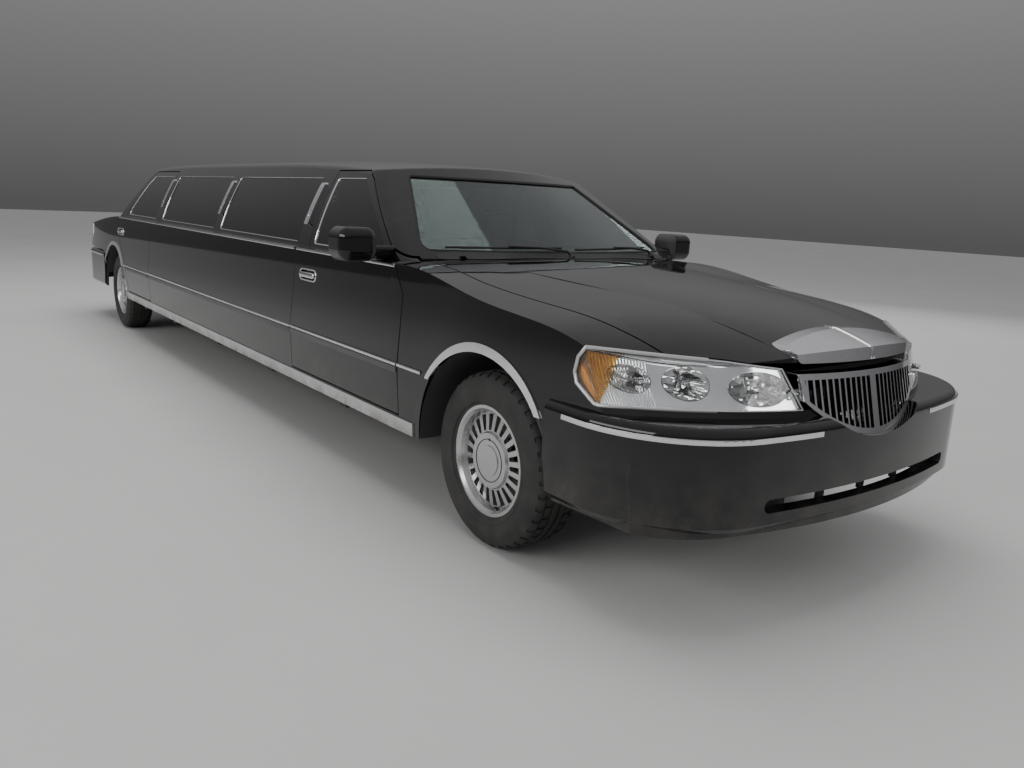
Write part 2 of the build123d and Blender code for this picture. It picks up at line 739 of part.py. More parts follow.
def lamp_bowl(y, z, half, high, deep, mouth):
    """The hollow of a lamp's bowl on the right side, widening towards its mouth."""
    with BuildPart() as bowl:
        with BuildSketch(Plane.YZ.offset(FA + mouth - deep)):
            with Locations((-y, z)):
                Ellipse(BOWL_FLOOR * half, BOWL_FLOOR * high)
        with BuildSketch(Plane.YZ.offset(FA + mouth + 60)):
            with Locations((-y, z)):
                Ellipse(half, high)
        loft()
    return bowl.part


with BuildPart() as lamp_inner:
    add(body_form(LENS))
    add(ends_form(LENS), mode=Mode.INTERSECT)
with BuildPart() as headlamp_lens:
    add(skin.part)
    add(lamp_zone, mode=Mode.INTERSECT)
    add(lamp_inner.part, mode=Mode.SUBTRACT)
keep(both_sides(headlamp_lens.part), "headlamp_lenses")

bowls = [lamp_bowl(*row) for row in BOWLS]
with BuildPart() as lamp_mouth:
    add(body_form(LENS_AIR))
    add(ends_form(LENS_AIR), mode=Mode.INTERSECT)
with BuildPart() as headlamp:
    add(lamp_mouth.part)
    add(lamp_zone, mode=Mode.INTERSECT)
    add(lamp_core.part, mode=Mode.SUBTRACT)
    for bowl in bowls:
        add(bowl, mode=Mode.SUBTRACT)
keep(both_sides(headlamp.part), "headlamps")

with BuildPart() as tail_lamp:
    add(skin.part)
    add(tail_lamp_zone, mode=Mode.INTERSECT)
    add(lamp_core.part, mode=Mode.SUBTRACT)
    add(lid_opening, mode=Mode.SUBTRACT)
keep(both_sides(tail_lamp.part), "tail_lamps")

# Openings of the windows, and their glass
side_windows = [(FA, FRONT_WINDOW), (RA, REAR_WINDOW), (0, STRETCH_WINDOWS[0]),
                (0, STRETCH_WINDOWS[1])]
window_rooms = [window_cutter(at(axle, points), 0) for axle, points in side_windows]
pane_zones = [window_cutter(at(axle, points), -SEAT_GAP) for axle, points in side_windows]
screen_room = front_cutter(WINDSCREEN, FA - 1500, FA - 300, corner=WINDOW_CORNER)
screen_zone = front_cutter(WINDSCREEN, FA - 1500, FA - 300, grow=-SEAT_GAP, corner=WINDOW_CORNER)
back_room = front_cutter(BACK_WINDOW, RA - 500, RA + 620, corner=WINDOW_CORNER)
back_zone = front_cutter(BACK_WINDOW, RA - 500, RA + 620, grow=-SEAT_GAP, corner=WINDOW_CORNER)

with BuildPart() as pane_shell:
    add(cabin_form(GLASS_SET_BACK))
    add(cabin_form(GLASS_SET_BACK + GLASS), mode=Mode.SUBTRACT)
    add(skin.part, mode=Mode.SUBTRACT)

panes = []
for zone in pane_zones + [screen_zone, back_zone]:
    with BuildPart() as pane:
        add(pane_shell.part)
        add(zone, mode=Mode.INTERSECT)
    panes.append(pane.part)

with BuildPart() as cabin_glass:
    add(panes[4])
    add(panes[5])
    for pane_part in panes[2:4]:
        add(both_sides(pane_part))
keep(cabin_glass.part, "cabin_glass")

# Doors
MIRROR_X = FA - 885
MIRROR_Y = 1030
MIRROR_Z = 1122
HANDLES = [(FA - 1595, 917), (RA + 260, 917)]
HANDLE_LONG = 190
HANDLE_HIGH = 46


def door(leaf, window, handle):
    x, z = handle
    outside = half_width_at(z)
    with BuildPart() as leaf_part:
        add(shell.part)
        add(leaf, mode=Mode.INTERSECT)
        add(window, mode=Mode.SUBTRACT)
        add(front_arches, mode=Mode.SUBTRACT)
        with BuildSketch(Plane.XZ.offset(outside - 16)):
            with Locations((x, z)):
                SlotOverall(HANDLE_LONG, HANDLE_HIGH)
        extrude(amount=60, mode=Mode.SUBTRACT)
        with BuildSketch(Plane.XZ.offset(outside - 20)):
            with Locations((x, z)):
                SlotOverall(HANDLE_LONG - 20, HANDLE_HIGH - 24)
        extrude(amount=28)
    return leaf_part.part


front_door = door(front_leaf, window_rooms[0], HANDLES[0])
rear_door = door(rear_leaf, window_rooms[1], HANDLES[1])

with BuildPart() as mirror_head:
    with BuildSketch(Plane.YZ.offset(MIRROR_X - 70)):
        with Locations((-MIRROR_Y, MIRROR_Z)):
            RectangleRounded(182, 150, 50)
    extrude(amount=140)
    fillet(mirror_head.faces().sort_by(Axis.X)[-1].edges(), 45)
    fillet(mirror_head.faces().sort_by(Axis.X)[0].edges(), 8)
    with BuildSketch(Plane.XZ.offset(half_width_at(1090) - 30)):
        with Locations((MIRROR_X + 5, 1088)):
            RectangleRounded(90, 60, 20)
    extrude(amount=130)
    add(skin_cabin, mode=Mode.SUBTRACT)
    add(skin.part, mode=Mode.SUBTRACT)

for side, flip in (("right", False), ("left", True)):
    for name, piece in (("front_door", front_door), ("rear_door", rear_door),
                        ("front_door_glass", panes[0]), ("rear_door_glass", panes[1]),
                        ("door_mirror", mirror_head.part)):
        with BuildPart() as placed:
            if flip:
                mirror(piece, about=Plane.XZ)
            else:
                add(piece)
        keep(placed.part, name + "_" + side)

# Trunk lid
with BuildPart() as trunk_lid:
    add(panels.part)
    add(lid_leaf, mode=Mode.INTERSECT)
    add(tail_lamp_room, mode=Mode.SUBTRACT)
    add(hinge_eye(*LID_HINGE))
keep(trunk_lid.part, "trunk_lid")

# Body shell: roof, pillars, stretch sides, quarters, cowl, firewall and rear wheel tubs
with BuildPart() as behind_fenders:
    add(side_cutter(at(FA, FENDER_BACK), -OUTSIDE, OUTSIDE, grow=SEAM))
    add(cowl_zone, mode=Mode.SUBTRACT)
    add(block(FA - 1400, FA - 600, -OUTSIDE, OUTSIDE, BELT + 48, 1300), mode=Mode.SUBTRACT)

FIREWALL_BACK = FA - 640
FIREWALL_FRONT = FA - 606
# How far out the firewall reaches beside the swinging front doors, and under their shelves
FIREWALL_HALF = 866
SHELF_HALF = 790
SHELF_UNDER = 975
with BuildPart() as firewall_zone:
    add(block(FIREWALL_BACK, FIREWALL_FRONT, -OUTSIDE, OUTSIDE, FLOOR_TOP, DOOR_BOTTOM - GAP))
    add(block(FIREWALL_BACK, FIREWALL_FRONT, -FIREWALL_HALF, FIREWALL_HALF, FLOOR_TOP,
              SHELF_UNDER))
    add(block(FIREWALL_BACK, FIREWALL_FRONT, -SHELF_HALF, SHELF_HALF, FLOOR_TOP, 1100))
    add(both_sides(block(FIREWALL_BACK, FIREWALL_FRONT, -OUTSIDE, -480, SILL, FLOOR_TOP)))
with BuildPart() as firewall:
    add(core.part)
    add(firewall_zone.part, mode=Mode.INTERSECT)

openings = both_sides(front_opening), both_sides(rear_opening)
with BuildPart() as body_shell:
    add(shell.part)
    add(behind_fenders.part, mode=Mode.SUBTRACT)
    add(openings[0], mode=Mode.SUBTRACT)
    add(openings[1], mode=Mode.SUBTRACT)
    for cutter in window_rooms[2:4]:
        add(both_sides(cutter), mode=Mode.SUBTRACT)
    add(screen_room, mode=Mode.SUBTRACT)
    add(back_room, mode=Mode.SUBTRACT)
    add(firewall.part)
    add(both_sides(rear_tub.part))
    add(rear_arches, mode=Mode.SUBTRACT)
    add(lid_opening, mode=Mode.SUBTRACT)
    add(rear_bumper_room, mode=Mode.SUBTRACT)
    add(tail_lamp_room, mode=Mode.SUBTRACT)
    add(cowl_opening, mode=Mode.SUBTRACT)
    add(both_sides(block(FA - 600 - GAP, FA, -OUTSIDE, -HALF_WIDTH + DOOR_WALL, ROCKER_TOP, 900)),
        mode=Mode.SUBTRACT)
    for hinge in (HOOD_HINGE, LID_HINGE):
        add(hinge_pocket(*hinge), mode=Mode.SUBTRACT)
        add(hinge_pin(*hinge))
keep(body_shell.part, "body_shell")

# Rocker mouldings, arch lips and pillar lamps lie on the outside
TRIM_PROUD = 7
with BuildPart() as trim_skin:
    add(body_form(-TRIM_PROUD))
    add(skin_body, mode=Mode.SUBTRACT)
rocker_zone = block(RA + ARCH_RADIUS + LIP_WIDTH, FA - ARCH_RADIUS - LIP_WIDTH, -OUTSIDE, -800,
                    SILL, ROCKER_TOP - GAP)
with BuildPart() as rocker:
    add(trim_skin.part)
    add(rocker_zone, mode=Mode.INTERSECT)
keep(both_sides(rocker.part), "rocker_trim")

lips = []
for axle in (FA, RA):
    with BuildPart() as lip_ring:
        with BuildSketch(Plane.XZ.offset(HALF_WIDTH - 90)):
            with Locations((axle, TYRE_RADIUS)):
                Circle(ARCH_RADIUS + LIP_WIDTH)
                Circle(ARCH_RADIUS, mode=Mode.SUBTRACT)
            with Locations((axle, TYRE_RADIUS / 2)):
                Rectangle(4 * ARCH_RADIUS, TYRE_RADIUS, mode=Mode.SUBTRACT)
        extrude(amount=200)
    with BuildPart() as lip:
        add(trim_skin.part)
        add(lip_ring.part, mode=Mode.INTERSECT)
    lips.append(lip.part)
with BuildPart() as arch_trim:
    for lip_part in lips:
        add(both_sides(lip_part))
    add(front_bumper.part, mode=Mode.SUBTRACT)
    add(rear_bumper.part, mode=Mode.SUBTRACT)
keep(arch_trim.part, "arch_trim")

LAMP_LOW = 1168
LAMP_HIGH = 1392
lamp_shell = cabin_form(-16)
pillar_pieces = []
for lamp_x in LAMP_X:
    with BuildPart() as pillar_lamp:
        add(lamp_shell)
        add(side_cutter([(lamp_x - 26, LAMP_LOW), (lamp_x + 26, LAMP_LOW),
                         (lamp_x + 26, LAMP_HIGH), (lamp_x - 26, LAMP_HIGH)],
                        -CABIN_INSIDE, -OUTSIDE, corner=12), mode=Mode.INTERSECT)
        add(skin_cabin, mode=Mode.SUBTRACT)
    pillar_pieces.append(both_sides(pillar_lamp.part))
with BuildPart() as pillar_lamps:
    for pillar_piece in pillar_pieces:
        add(pillar_piece)
keep(pillar_lamps.part, "pillar_lamps")

# Floor
FLOOR = FLOOR_TOP - FLOOR_UNDER
KICK = 560
TRUNK_FLOOR = 500
TRUNK_FRONT = RA - 590                # where the trunk's own floor begins, behind the kick
FLOOR_FRONT = FIREWALL_BACK - SEAM
floor_side = [(FLOOR_FRONT, FLOOR_UNDER), (RA + 520, FLOOR_UNDER), (RA + 400, KICK),
              (RA - 520, KICK), (RA - 580, TRUNK_FLOOR), (RA - 1330, TRUNK_FLOOR),
              (RA - 1330, TRUNK_FLOOR + FLOOR), (RA - 570, TRUNK_FLOOR + FLOOR),
              (RA - 510, KICK + FLOOR), (RA + 390, KICK + FLOOR), (RA + 508, FLOOR_TOP),
              (FLOOR_FRONT, FLOOR_TOP)]
floor_core = body_form(DOOR_WALL + SEAM)
with BuildPart() as floor_pan:
    add(floor_core)
    add(side_cutter(floor_side, -OUTSIDE, OUTSIDE), mode=Mode.INTERSECT)
    add(bumper_form(BUMPER_WALL + SEAM, BUMPER_TOP), mode=Mode.INTERSECT)
    add(rear_arches, mode=Mode.SUBTRACT)
    add(both_sides(arch_cutter(RA, ARCH_RADIUS + TUB_WALL + SEAM, TUB_INNER - TUB_WALL - SEAM,
                               OUTSIDE)), mode=Mode.SUBTRACT)
    add(block(TRUNK_FRONT - SEAM, TRUNK_FRONT, -OUTSIDE, OUTSIDE, SILL, BELT), mode=Mode.SUBTRACT)
keep(floor_pan.part, "floor_pan")

# Chassis
RAIL_Y = 430
RAIL_WIDTH = 70
RAIL_HIGH = 90
SHAFT_Z = 312
SHAFT_RADIUS = 38
PIPE_Y = 250
PIPE_RADIUS = 28
PIPE_Z = 306
rail_low = [(FA + 930, 400), (FA + 480, 400), (FA - 480, FLOOR_UNDER - RAIL_HIGH),
            (RA + 440, FLOOR_UNDER - RAIL_HIGH), (RA + 320, KICK - RAIL_HIGH),
            (RA - 500, KICK - RAIL_HIGH), (RA - 600, TRUNK_FLOOR - RAIL_HIGH),
            (RA - 1290, TRUNK_FLOOR - RAIL_HIGH)]
rail_high = [(x, z + RAIL_HIGH) for x, z in reversed(rail_low)]
rail_high[1] = (RA - 580, TRUNK_FLOOR)
rail_high[2] = (RA - 520, KICK)
rail_high[3] = (RA + 400, KICK)
rail_high[4] = (RA + 520, FLOOR_UNDER)
CROSSBARS = [FA + 880, FA - 1300, FA - 2300, FA - 3300, RA + 1700, RA + 800]
# A lengthened frame is in sections: front, middle and rear
FRAME_SEAMS = [FA - 480, RA - 585]
with BuildPart() as chassis:
    add(both_sides(side_cutter(rail_low + rail_high, -RAIL_Y - RAIL_WIDTH / 2,
                               -RAIL_Y + RAIL_WIDTH / 2)))
    for bar_x in CROSSBARS:
        low = 400 if bar_x > FA else FLOOR_UNDER - RAIL_HIGH
        high = 490 if bar_x > FA else FLOOR_UNDER
        reach = 700 if bar_x > FA else HALF_WIDTH - DOOR_WALL - 20
        add(block(bar_x - 40, bar_x + 40, -reach, reach, low, high))
    for x in (RA - 630, RA - 1250):
        add(block(x - 40, x + 40, -RAIL_Y, RAIL_Y, TRUNK_FLOOR - 34, TRUNK_FLOOR))
    for x in FRAME_SEAMS:
        add(block(x - SEAM, x, -OUTSIDE, OUTSIDE, 0, BELT), mode=Mode.SUBTRACT)
    with BuildSketch(Plane.YZ.offset(RA)):
        with Locations((0, SHAFT_Z)):
            Circle(SHAFT_RADIUS + 12)
        with Locations((-PIPE_Y, PIPE_Z)):
            Circle(PIPE_RADIUS + 10)
    extrude(amount=FA - 1200 - RA, mode=Mode.SUBTRACT)
keep(chassis.part, "chassis_frame")

# Drive: engine with gearbox, shaft, rear axle, exhaust and tank
with BuildPart() as engine:
    add(block(FA - 380, FA + 330, -260, 260, 420, 860))
    fillet(engine.edges().filter_by(Axis.X), 40)
    add(block(FA - 1100, FA - 380, -130, 130, 262, 362))
    add(block(FA - 600, FA - 340, -130, 130, 262, 470))
    add(block(FA - 120, FA - 40, -RAIL_Y + RAIL_WIDTH / 2 + SEAT_GAP,
              RAIL_Y - RAIL_WIDTH / 2 - SEAT_GAP, 440, 480))
keep(engine.part, "engine_block")

with BuildPart() as driveshaft:
    with BuildSketch(Plane.YZ.offset(RA + 150)):
        with Locations((0, SHAFT_Z)):
            Circle(SHAFT_RADIUS)
    extrude(amount=FA - 1100 - SEAT_GAP - RA - 150)
keep(driveshaft.part, "driveshaft")

SPINDLE = HUB_BORE - SEAT_GAP
HUB_FACE = 868
with BuildPart() as rear_axle:
    add(rod(RA, -690, 690, TYRE_RADIUS, 44))
    add(rod(RA, -HUB_FACE, HUB_FACE, TYRE_RADIUS, SPINDLE))
    with Locations((RA, 0, TYRE_RADIUS)):
        Sphere(125)
    with BuildSketch(Plane.YZ.offset(RA + 40)):
        with Locations((0, SHAFT_Z + 6)):
            Circle(62)
    extrude(amount=110 - SEAT_GAP)
    for side in (1, -1):
        with BuildSketch(Plane.XY.offset(TYRE_RADIUS)):
            with Locations((RA, side * RAIL_Y)):
                Circle(52)
        extrude(amount=KICK - RAIL_HIGH - SEAT_GAP - TYRE_RADIUS)
keep(rear_axle.part, "rear_axle")

pipe_points = [(FA - 700, -PIPE_Y, PIPE_Z), (RA + 560, -PIPE_Y, PIPE_Z),
               (RA + 300, -PIPE_Y, 450), (RA - 400, -PIPE_Y, 450), (RA - 640, -PIPE_Y, 390),
               (REAR_END + 90, -PIPE_Y, 390)]
with BuildPart() as exhaust:
    with BuildLine() as pipe_line:
        FilletPolyline(*pipe_points, radius=120)
    with BuildSketch(Plane(origin=pipe_points[0], z_dir=(-1, 0, 0))):
        Circle(PIPE_RADIUS)
    sweep()
    add(block(RA - 1240, RA - 760, -PIPE_Y - 100, -PIPE_Y + 100, 330, 450))
    fillet(exhaust.edges().filter_by(Axis.X).group_by(Axis.Z)[-1], 30)
    add(block(RA - 1020, RA - 980, -PIPE_Y - 20, -PIPE_Y + 20, 440, TRUNK_FLOOR - SEAT_GAP))
keep(exhaust.part, "exhaust")

with BuildPart() as fuel_tank:
    add(block(RA - 1180, RA - 690, -110, 370, 340, TRUNK_FLOOR - SEAT_GAP))
    fillet(fuel_tank.edges().filter_by(Axis.Z), 40)
keep(fuel_tank.part, "fuel_tank")

# Front suspension and steered knuckles
ARM_LOW = 192
ARM_THICK = 28
ARM_UP = 480
with BuildPart() as suspension:
    add(block(FA - 130, FA + 130, -RAIL_Y, RAIL_Y, ARM_LOW, 262))
    for side in (1, -1):
        add(block(FA - 90, FA + 90, min(side * 395, side * 465), max(side * 395, side * 465),
                  250, 340))
        for z in (ARM_LOW, ARM_UP):
            with BuildSketch(Plane.XY.offset(z)):
                with BuildLine():
                    Polyline((FA - 150, side * (RAIL_Y - 20)), (FA + 150, side * (RAIL_Y - 20)),
                             (FA + 26, side * (KINGPIN_Y + 8)), (FA - 26, side * (KINGPIN_Y + 8)),
                             close=True)
                make_face()
            extrude(amount=ARM_THICK)
    add(both_sides(block(FA - 150, FA + 150, -RAIL_Y - RAIL_WIDTH / 2,
                         -RAIL_Y + RAIL_WIDTH / 2, 440, ARM_UP)))
with BuildPart() as front_suspension:
    add(suspension.part)
    add(chassis.part, mode=Mode.SUBTRACT)
keep(front_suspension.part, "front_suspension")

with BuildPart() as knuckle:
    add(block(FA - 24, FA + 24, -KINGPIN_Y - 6, -KINGPIN_Y + 24, ARM_LOW + ARM_THICK + SEAT_GAP,
              ARM_UP - SEAT_GAP))
    add(rod(FA, -HUB_FACE, -KINGPIN_Y + 20, TYRE_RADIUS, SPINDLE))
for side, flip in (("right", False), ("left", True)):
    with BuildPart() as placed:
        if flip:
            mirror(knuckle.part, about=Plane.XZ)
        else:
            add(knuckle.part)
    keep(placed.part, "knuckle_" + side)

# Wheels: half sections of radius and distance outwards from the wheel's middle
RIM_FACE = 95
CAP_RADIUS = 108
RIM_SECTION = [(HUB_BORE, 20), (HUB_BORE, 84), (CAP_RADIUS, 84), (CAP_RADIUS + 6, 72), (186, 60),
               (196, 84), (206, RIM_FACE), (RIM_RADIUS, RIM_FACE), (RIM_RADIUS, 84), (198, 66),
               (198, -90), (RIM_RADIUS, -97), (RIM_RADIUS, -104), (190, -104), (186, -90),
               (186, 44), (60, 52), (60, 20)]
SLOT_INNER = CAP_RADIUS + 10
SLOT_OUTER = 182
SLOT_WIDTH = 29
SLOT_ANGLE = 84
SLOT_CORNER = 4


def wheel_pieces(axle):
    """Rim and tyre of a wheel on the car's right side."""
    middle = Plane(origin=(axle, -HALF_TRACK, TYRE_RADIUS), x_dir=(1, 0, 0), z_dir=(0, -1, 0))
    profile = Plane(origin=middle.origin, x_dir=(1, 0, 0), z_dir=(0, 0, -1))
    turn = Axis(middle.origin, (0, -1, 0))
    with BuildPart() as rim:
        with BuildSketch(profile):
            with BuildLine():
                Polyline(*RIM_SECTION, close=True)
            make_face()
        revolve(axis=turn)
        with BuildSketch(middle.offset(30)) as slots:
            with PolarLocations((SLOT_INNER + SLOT_OUTER) / 2, SLOTS):
                Trapezoid(SLOT_WIDTH, SLOT_OUTER - SLOT_INNER, SLOT_ANGLE, rotation=90)
            fillet(slots.vertices(), SLOT_CORNER)
        extrude(amount=50, mode=Mode.SUBTRACT)
        with BuildSketch(middle.offset(HUB_FACE - HALF_TRACK + 2)):
            Circle(60)
        extrude(amount=86 - HUB_FACE + HALF_TRACK)
    with BuildPart() as tyre:
        with BuildSketch(profile):
            with BuildLine():
                bead = RIM_RADIUS + SEAT_GAP
                Line((bead, -98), (bead, 98))
                for side in (1, -1):
                    ThreePointArc((bead, side * 98), (284, side * TYRE_HALF_WIDTH),
                                  (TYRE_RADIUS - 12, side * 92))
                    Line((TYRE_RADIUS - 12, side * 92), (TYRE_RADIUS, side * 74))
                Line((TYRE_RADIUS, -74), (TYRE_RADIUS, 74))
            make_face()
        revolve(axis=turn)
    return rim.part, tyre.part


for place, axle in (("front", FA), ("rear", RA)):
    rim_part, tyre_part = wheel_pieces(axle)
    for side, flip in (("right", False), ("left", True)):
        for name, piece in (("rim", rim_part), ("tyre", tyre_part)):
            with BuildPart() as placed:
                if flip:
                    mirror(piece, about=Plane.XZ)
                else:
                    add(piece)
            keep(placed.part, name + "_" + place + "_" + side)

# Inside
inner_half = HALF_WIDTH - DOOR_WALL - 25
with BuildPart() as dashboard:
    add(side_cutter([(FLOOR_FRONT, 640), (FLOOR_FRONT, 970), (FA - 760, 985), (FA - 980, 960),
                     (FA - 1010, 880), (FA - 900, 760), (FA - 860, 640)],
                    -inner_half + 60, inner_half - 60, corner=20))
keep(dashboard.part, "dashboard")

WHEEL_HUB = (FA - 1090, 380, 930)
steering_plane = Plane(origin=WHEEL_HUB, z_dir=(0.88, 0, -0.48))
with BuildPart() as steering_wheel:
    with BuildSketch(steering_plane):
        Circle(30)
    extrude(amount=130)
    with BuildSketch(Plane(origin=WHEEL_HUB, z_dir=(0, 1, 0), x_dir=(0.48, 0, 0.88))):
        with Locations((182, 0)):
            Circle(14)
    revolve(axis=Axis(WHEEL_HUB, (0.88, 0, -0.48)))
    with BuildSketch(steering_plane):
        Rectangle(360, 34)
        Rectangle(34, 360)
    extrude(amount=16)
with BuildPart() as steering:
    add(steering_wheel.part)
    add(dashboard.part, mode=Mode.SUBTRACT)
keep(steering.part, "steering_wheel")

seat_side = [(FA - 1150, FLOOR_TOP), (FA - 1120, 640), (FA - 1180, 690), (FA - 1560, 660),
             (FA - 1700, 1100), (FA - 1690, 1260), (FA - 1780, 1280), (FA - 1850, 1100),
             (FA - 1730, 560), (FA - 1700, FLOOR_TOP)]
with BuildPart() as front_seat:
    add(side_cutter(seat_side, -620, -140, corner=24))
    add(block(FA - 1900, FA - 1600, -700, -500, 1110, 1400), mode=Mode.SUBTRACT)
    add(block(FA - 1900, FA - 1600, -260, -60, 1110, 1400), mode=Mode.SUBTRACT)
keep(both_sides(front_seat.part), "front_seats")

PARTITION_X = FA - 1960
with BuildPart() as partition:
    add(core.part)
    add(block(PARTITION_X - 40, PARTITION_X, -OUTSIDE, OUTSIDE, FLOOR_TOP, 1010),
        mode=Mode.INTERSECT)
keep(partition.part, "partition")

BENCH_TOP = 760
with BuildPart() as rear_seats:
    add(block(RA + 1330, PARTITION_X - 60, 360, inner_half, FLOOR_TOP, BENCH_TOP))
    add(block(RA + 1330, PARTITION_X - 60, inner_half - 130, inner_half - 4, BENCH_TOP, 940))
    add(side_cutter([(RA + 1110, FLOOR_TOP), (RA + 1130, BENCH_TOP - 20), (RA + 720, BENCH_TOP - 60),
                     (RA + 610, 1180), (RA + 520, 1180), (RA + 545, 600), (RA + 560, FLOOR_TOP)],
                    -inner_half + 137, inner_half - 137, corner=20))
    add(block(RA + 1000, RA + 1400, 360, inner_half - 137, FLOOR_TOP, BENCH_TOP - 60))
keep(rear_seats.part, "rear_seats")
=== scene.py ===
import json
import math

import bpy
from mathutils import Matrix, Vector


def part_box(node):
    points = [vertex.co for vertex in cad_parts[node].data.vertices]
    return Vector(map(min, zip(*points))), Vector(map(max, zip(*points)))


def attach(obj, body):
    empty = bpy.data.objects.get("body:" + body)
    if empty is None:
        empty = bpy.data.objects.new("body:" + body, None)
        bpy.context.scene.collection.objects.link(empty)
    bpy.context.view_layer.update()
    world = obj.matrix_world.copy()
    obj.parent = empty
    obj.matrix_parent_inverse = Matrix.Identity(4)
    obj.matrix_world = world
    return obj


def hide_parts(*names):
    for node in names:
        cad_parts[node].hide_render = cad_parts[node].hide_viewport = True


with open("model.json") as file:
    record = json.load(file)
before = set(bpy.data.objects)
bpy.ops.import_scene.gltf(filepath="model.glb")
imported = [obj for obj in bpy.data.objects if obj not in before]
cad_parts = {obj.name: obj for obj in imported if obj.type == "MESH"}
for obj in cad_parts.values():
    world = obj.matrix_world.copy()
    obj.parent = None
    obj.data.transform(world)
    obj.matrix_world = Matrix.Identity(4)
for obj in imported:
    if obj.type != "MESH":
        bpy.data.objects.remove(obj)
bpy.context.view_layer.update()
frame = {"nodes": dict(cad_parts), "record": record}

bl_info = {
    "name": "Stretch limousine",
    "version": (1, 0, 0),
    "blender": (4, 5, 0),
    "location": "3D View > Sidebar > Limousine",
    "description": "Dresses a black limousine: paint, trim, lamps, tyres, seats and stage",
    "category": "Object",
}

NODES = frame["nodes"]
SIDES = (("right", -1), ("left", 1))


def centre(node):
    low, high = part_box(node)
    return (low + high) / 2


# Places worked out from the frame
FRONT_AXLE = centre("tyre_front_right").x
REAR_AXLE = centre("tyre_rear_right").x
AXLES = {"front": FRONT_AXLE, "rear": REAR_AXLE}
WHEEL_Z = centre("tyre_front_right").z
HALF_TRACK = abs(centre("tyre_front_right").y)
TYRE_RADIUS = (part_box("tyre_front_right")[1].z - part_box("tyre_front_right")[0].z) / 2
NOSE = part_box("front_bumper")[1].x
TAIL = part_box("rear_bumper")[0].x
# The photo's camera: its place, its yaw, pitch and roll in degrees, and its focal length in mm
CAMERA_PLACE = (FRONT_AXLE + 2.489, -2.6961, 1.3251)
CAMERA_TURN = (142.60, -12.24, 2.73)
CAMERA_LENS = 29.12
# Name, place, size and power of each light
LIGHTS = (
    ("overhead", (-1.0, 0.0, 8.5), (12.0, 7.0), 620.0),
    ("near_side", (2.5, -9.5, 4.6), (11.0, 3.0), 420.0),
    ("front", (12.5, 2.5, 4.2), (5.0, 3.0), 260.0),
    ("far_side", (-2.0, 9.0, 4.0), (8.0, 2.5), 200.0),
)
LIGHTS_AIM = Vector((0.8, 0.0, 0.7))
# Grey levels of the room, from below (0) over the horizon (0.5) to straight above (1)
SKY = ((0.0, 0.16), (0.49, 0.12), (0.58, 0.26), (0.76, 0.60), (1.0, 0.68))
SKY_STRENGTH = 0.75
# Height of the belt line, how far the windscreen leans back over a metre of height, and the half
# width of the pillar lamps at the belt with how far they lean in over a metre
BELT_Z = 1.03
SCREEN_RAKE = 1.6545
LAMP_FOOT = 0.8965
LAMP_LEAN = 0.082 / 0.22
# Radius of the ring on a wheel's cap
CAP_RADIUS = 0.084
# Ribs in the lamps and seams on the seats, as sine waves per metre across the car
RIBS = 900.0
SEAMS = 62.0
# Middle, height, half width and half height of each bowl in a headlamp, from the centre line out;
# inside them the reflector's facets get painted shade
BOWLS = ((0.372, 0.775, 0.022, 0.034), (0.470, 0.776, 0.096, 0.054), (0.680, 0.790, 0.062, 0.052),
         (0.818, 0.796, 0.050, 0.044))


class Value:
    """A node's output, which joins in sums that are written as Python expressions."""

    def __init__(self, maker, socket):
        self.maker = maker
        self.socket = socket

    def __add__(self, other):
        return self.maker.math("ADD", self, other)

    def __radd__(self, other):
        return self.maker.math("ADD", other, self)

    def __sub__(self, other):
        return self.maker.math("SUBTRACT", self, other)

    def __rsub__(self, other):
        return self.maker.math("SUBTRACT", other, self)

    def __mul__(self, other):
        return self.maker.math("MULTIPLY", self, other)

    def __rmul__(self, other):
        return self.maker.math("MULTIPLY", other, self)

    def __truediv__(self, other):
        return self.maker.math("DIVIDE", self, other)

    def __rtruediv__(self, other):
        return self.maker.math("DIVIDE", other, self)

    def __pow__(self, other):
        return self.maker.math("POWER", self, other)

    def __rpow__(self, other):
        return self.maker.math("POWER", other, self)

    def __gt__(self, other):
        return self.maker.math("GREATER_THAN", self, other)

    def __lt__(self, other):
        return self.maker.math("LESS_THAN", self, other)

    def __abs__(self):
        return self.maker.math("ABSOLUTE", self)


class Nodes:
    """A node tree with its shader, and the one way to add nodes to it."""

    def __init__(self, owner, shader):
        owner.use_nodes = True
        self.tree = owner.node_tree
        self.shader = self.tree.nodes[shader]

    def node(self, kind, settings=None, inputs=None, output=0):
        """Adds a node with its settings, then its inputs, and gives one of its outputs."""
        node = self.tree.nodes.new(kind)
        for key, setting in (settings or {}).items():
            if key == "stops":
                self.fill_ramp(node.color_ramp, setting)
            else:
                setattr(node, key, setting)
        for key, value in (inputs or {}).items():
            self.join(node.inputs[key], value)
        return Value(self, node.outputs[output])

    def fill_ramp(self, ramp, stops):
        while len(ramp.elements) < len(stops):
            ramp.elements.new(1.0)
        for element, (position, colour) in zip(ramp.elements, stops):
            element.position = position
            element.color = colour

    def join(self, socket, value):
        if isinstance(value, Value):
            self.tree.links.new(value.socket, socket)
        else:
            socket.default_value = value

    def set(self, **sockets):
        """Sets the shader's sockets; an underscore in a name stands for a space."""
        for key, value in sockets.items():
            self.join(self.shader.inputs[key.replace("_", " ")], value)

    def math(self, operation, first, second=0.0):
        return self.node("ShaderNodeMath", {"operation": operation}, {0: first, 1: second})

    def sine(self, value):
        return self.math("SINE", value)

    def parts(self, output):
        """The three parts of one of the Texture Coordinate node's outputs, as numbers."""
        vector = self.node("ShaderNodeTexCoord", output=output)
        return [self.node("ShaderNodeSeparateXYZ", inputs={0: vector}, output=axis)
                for axis in range(3)]

    def axes(self):
        """The three Object coordinates."""
        return self.parts("Object")

    def facing(self):
        """The three parts of the surface's direction on the object."""
        return self.parts("Normal")


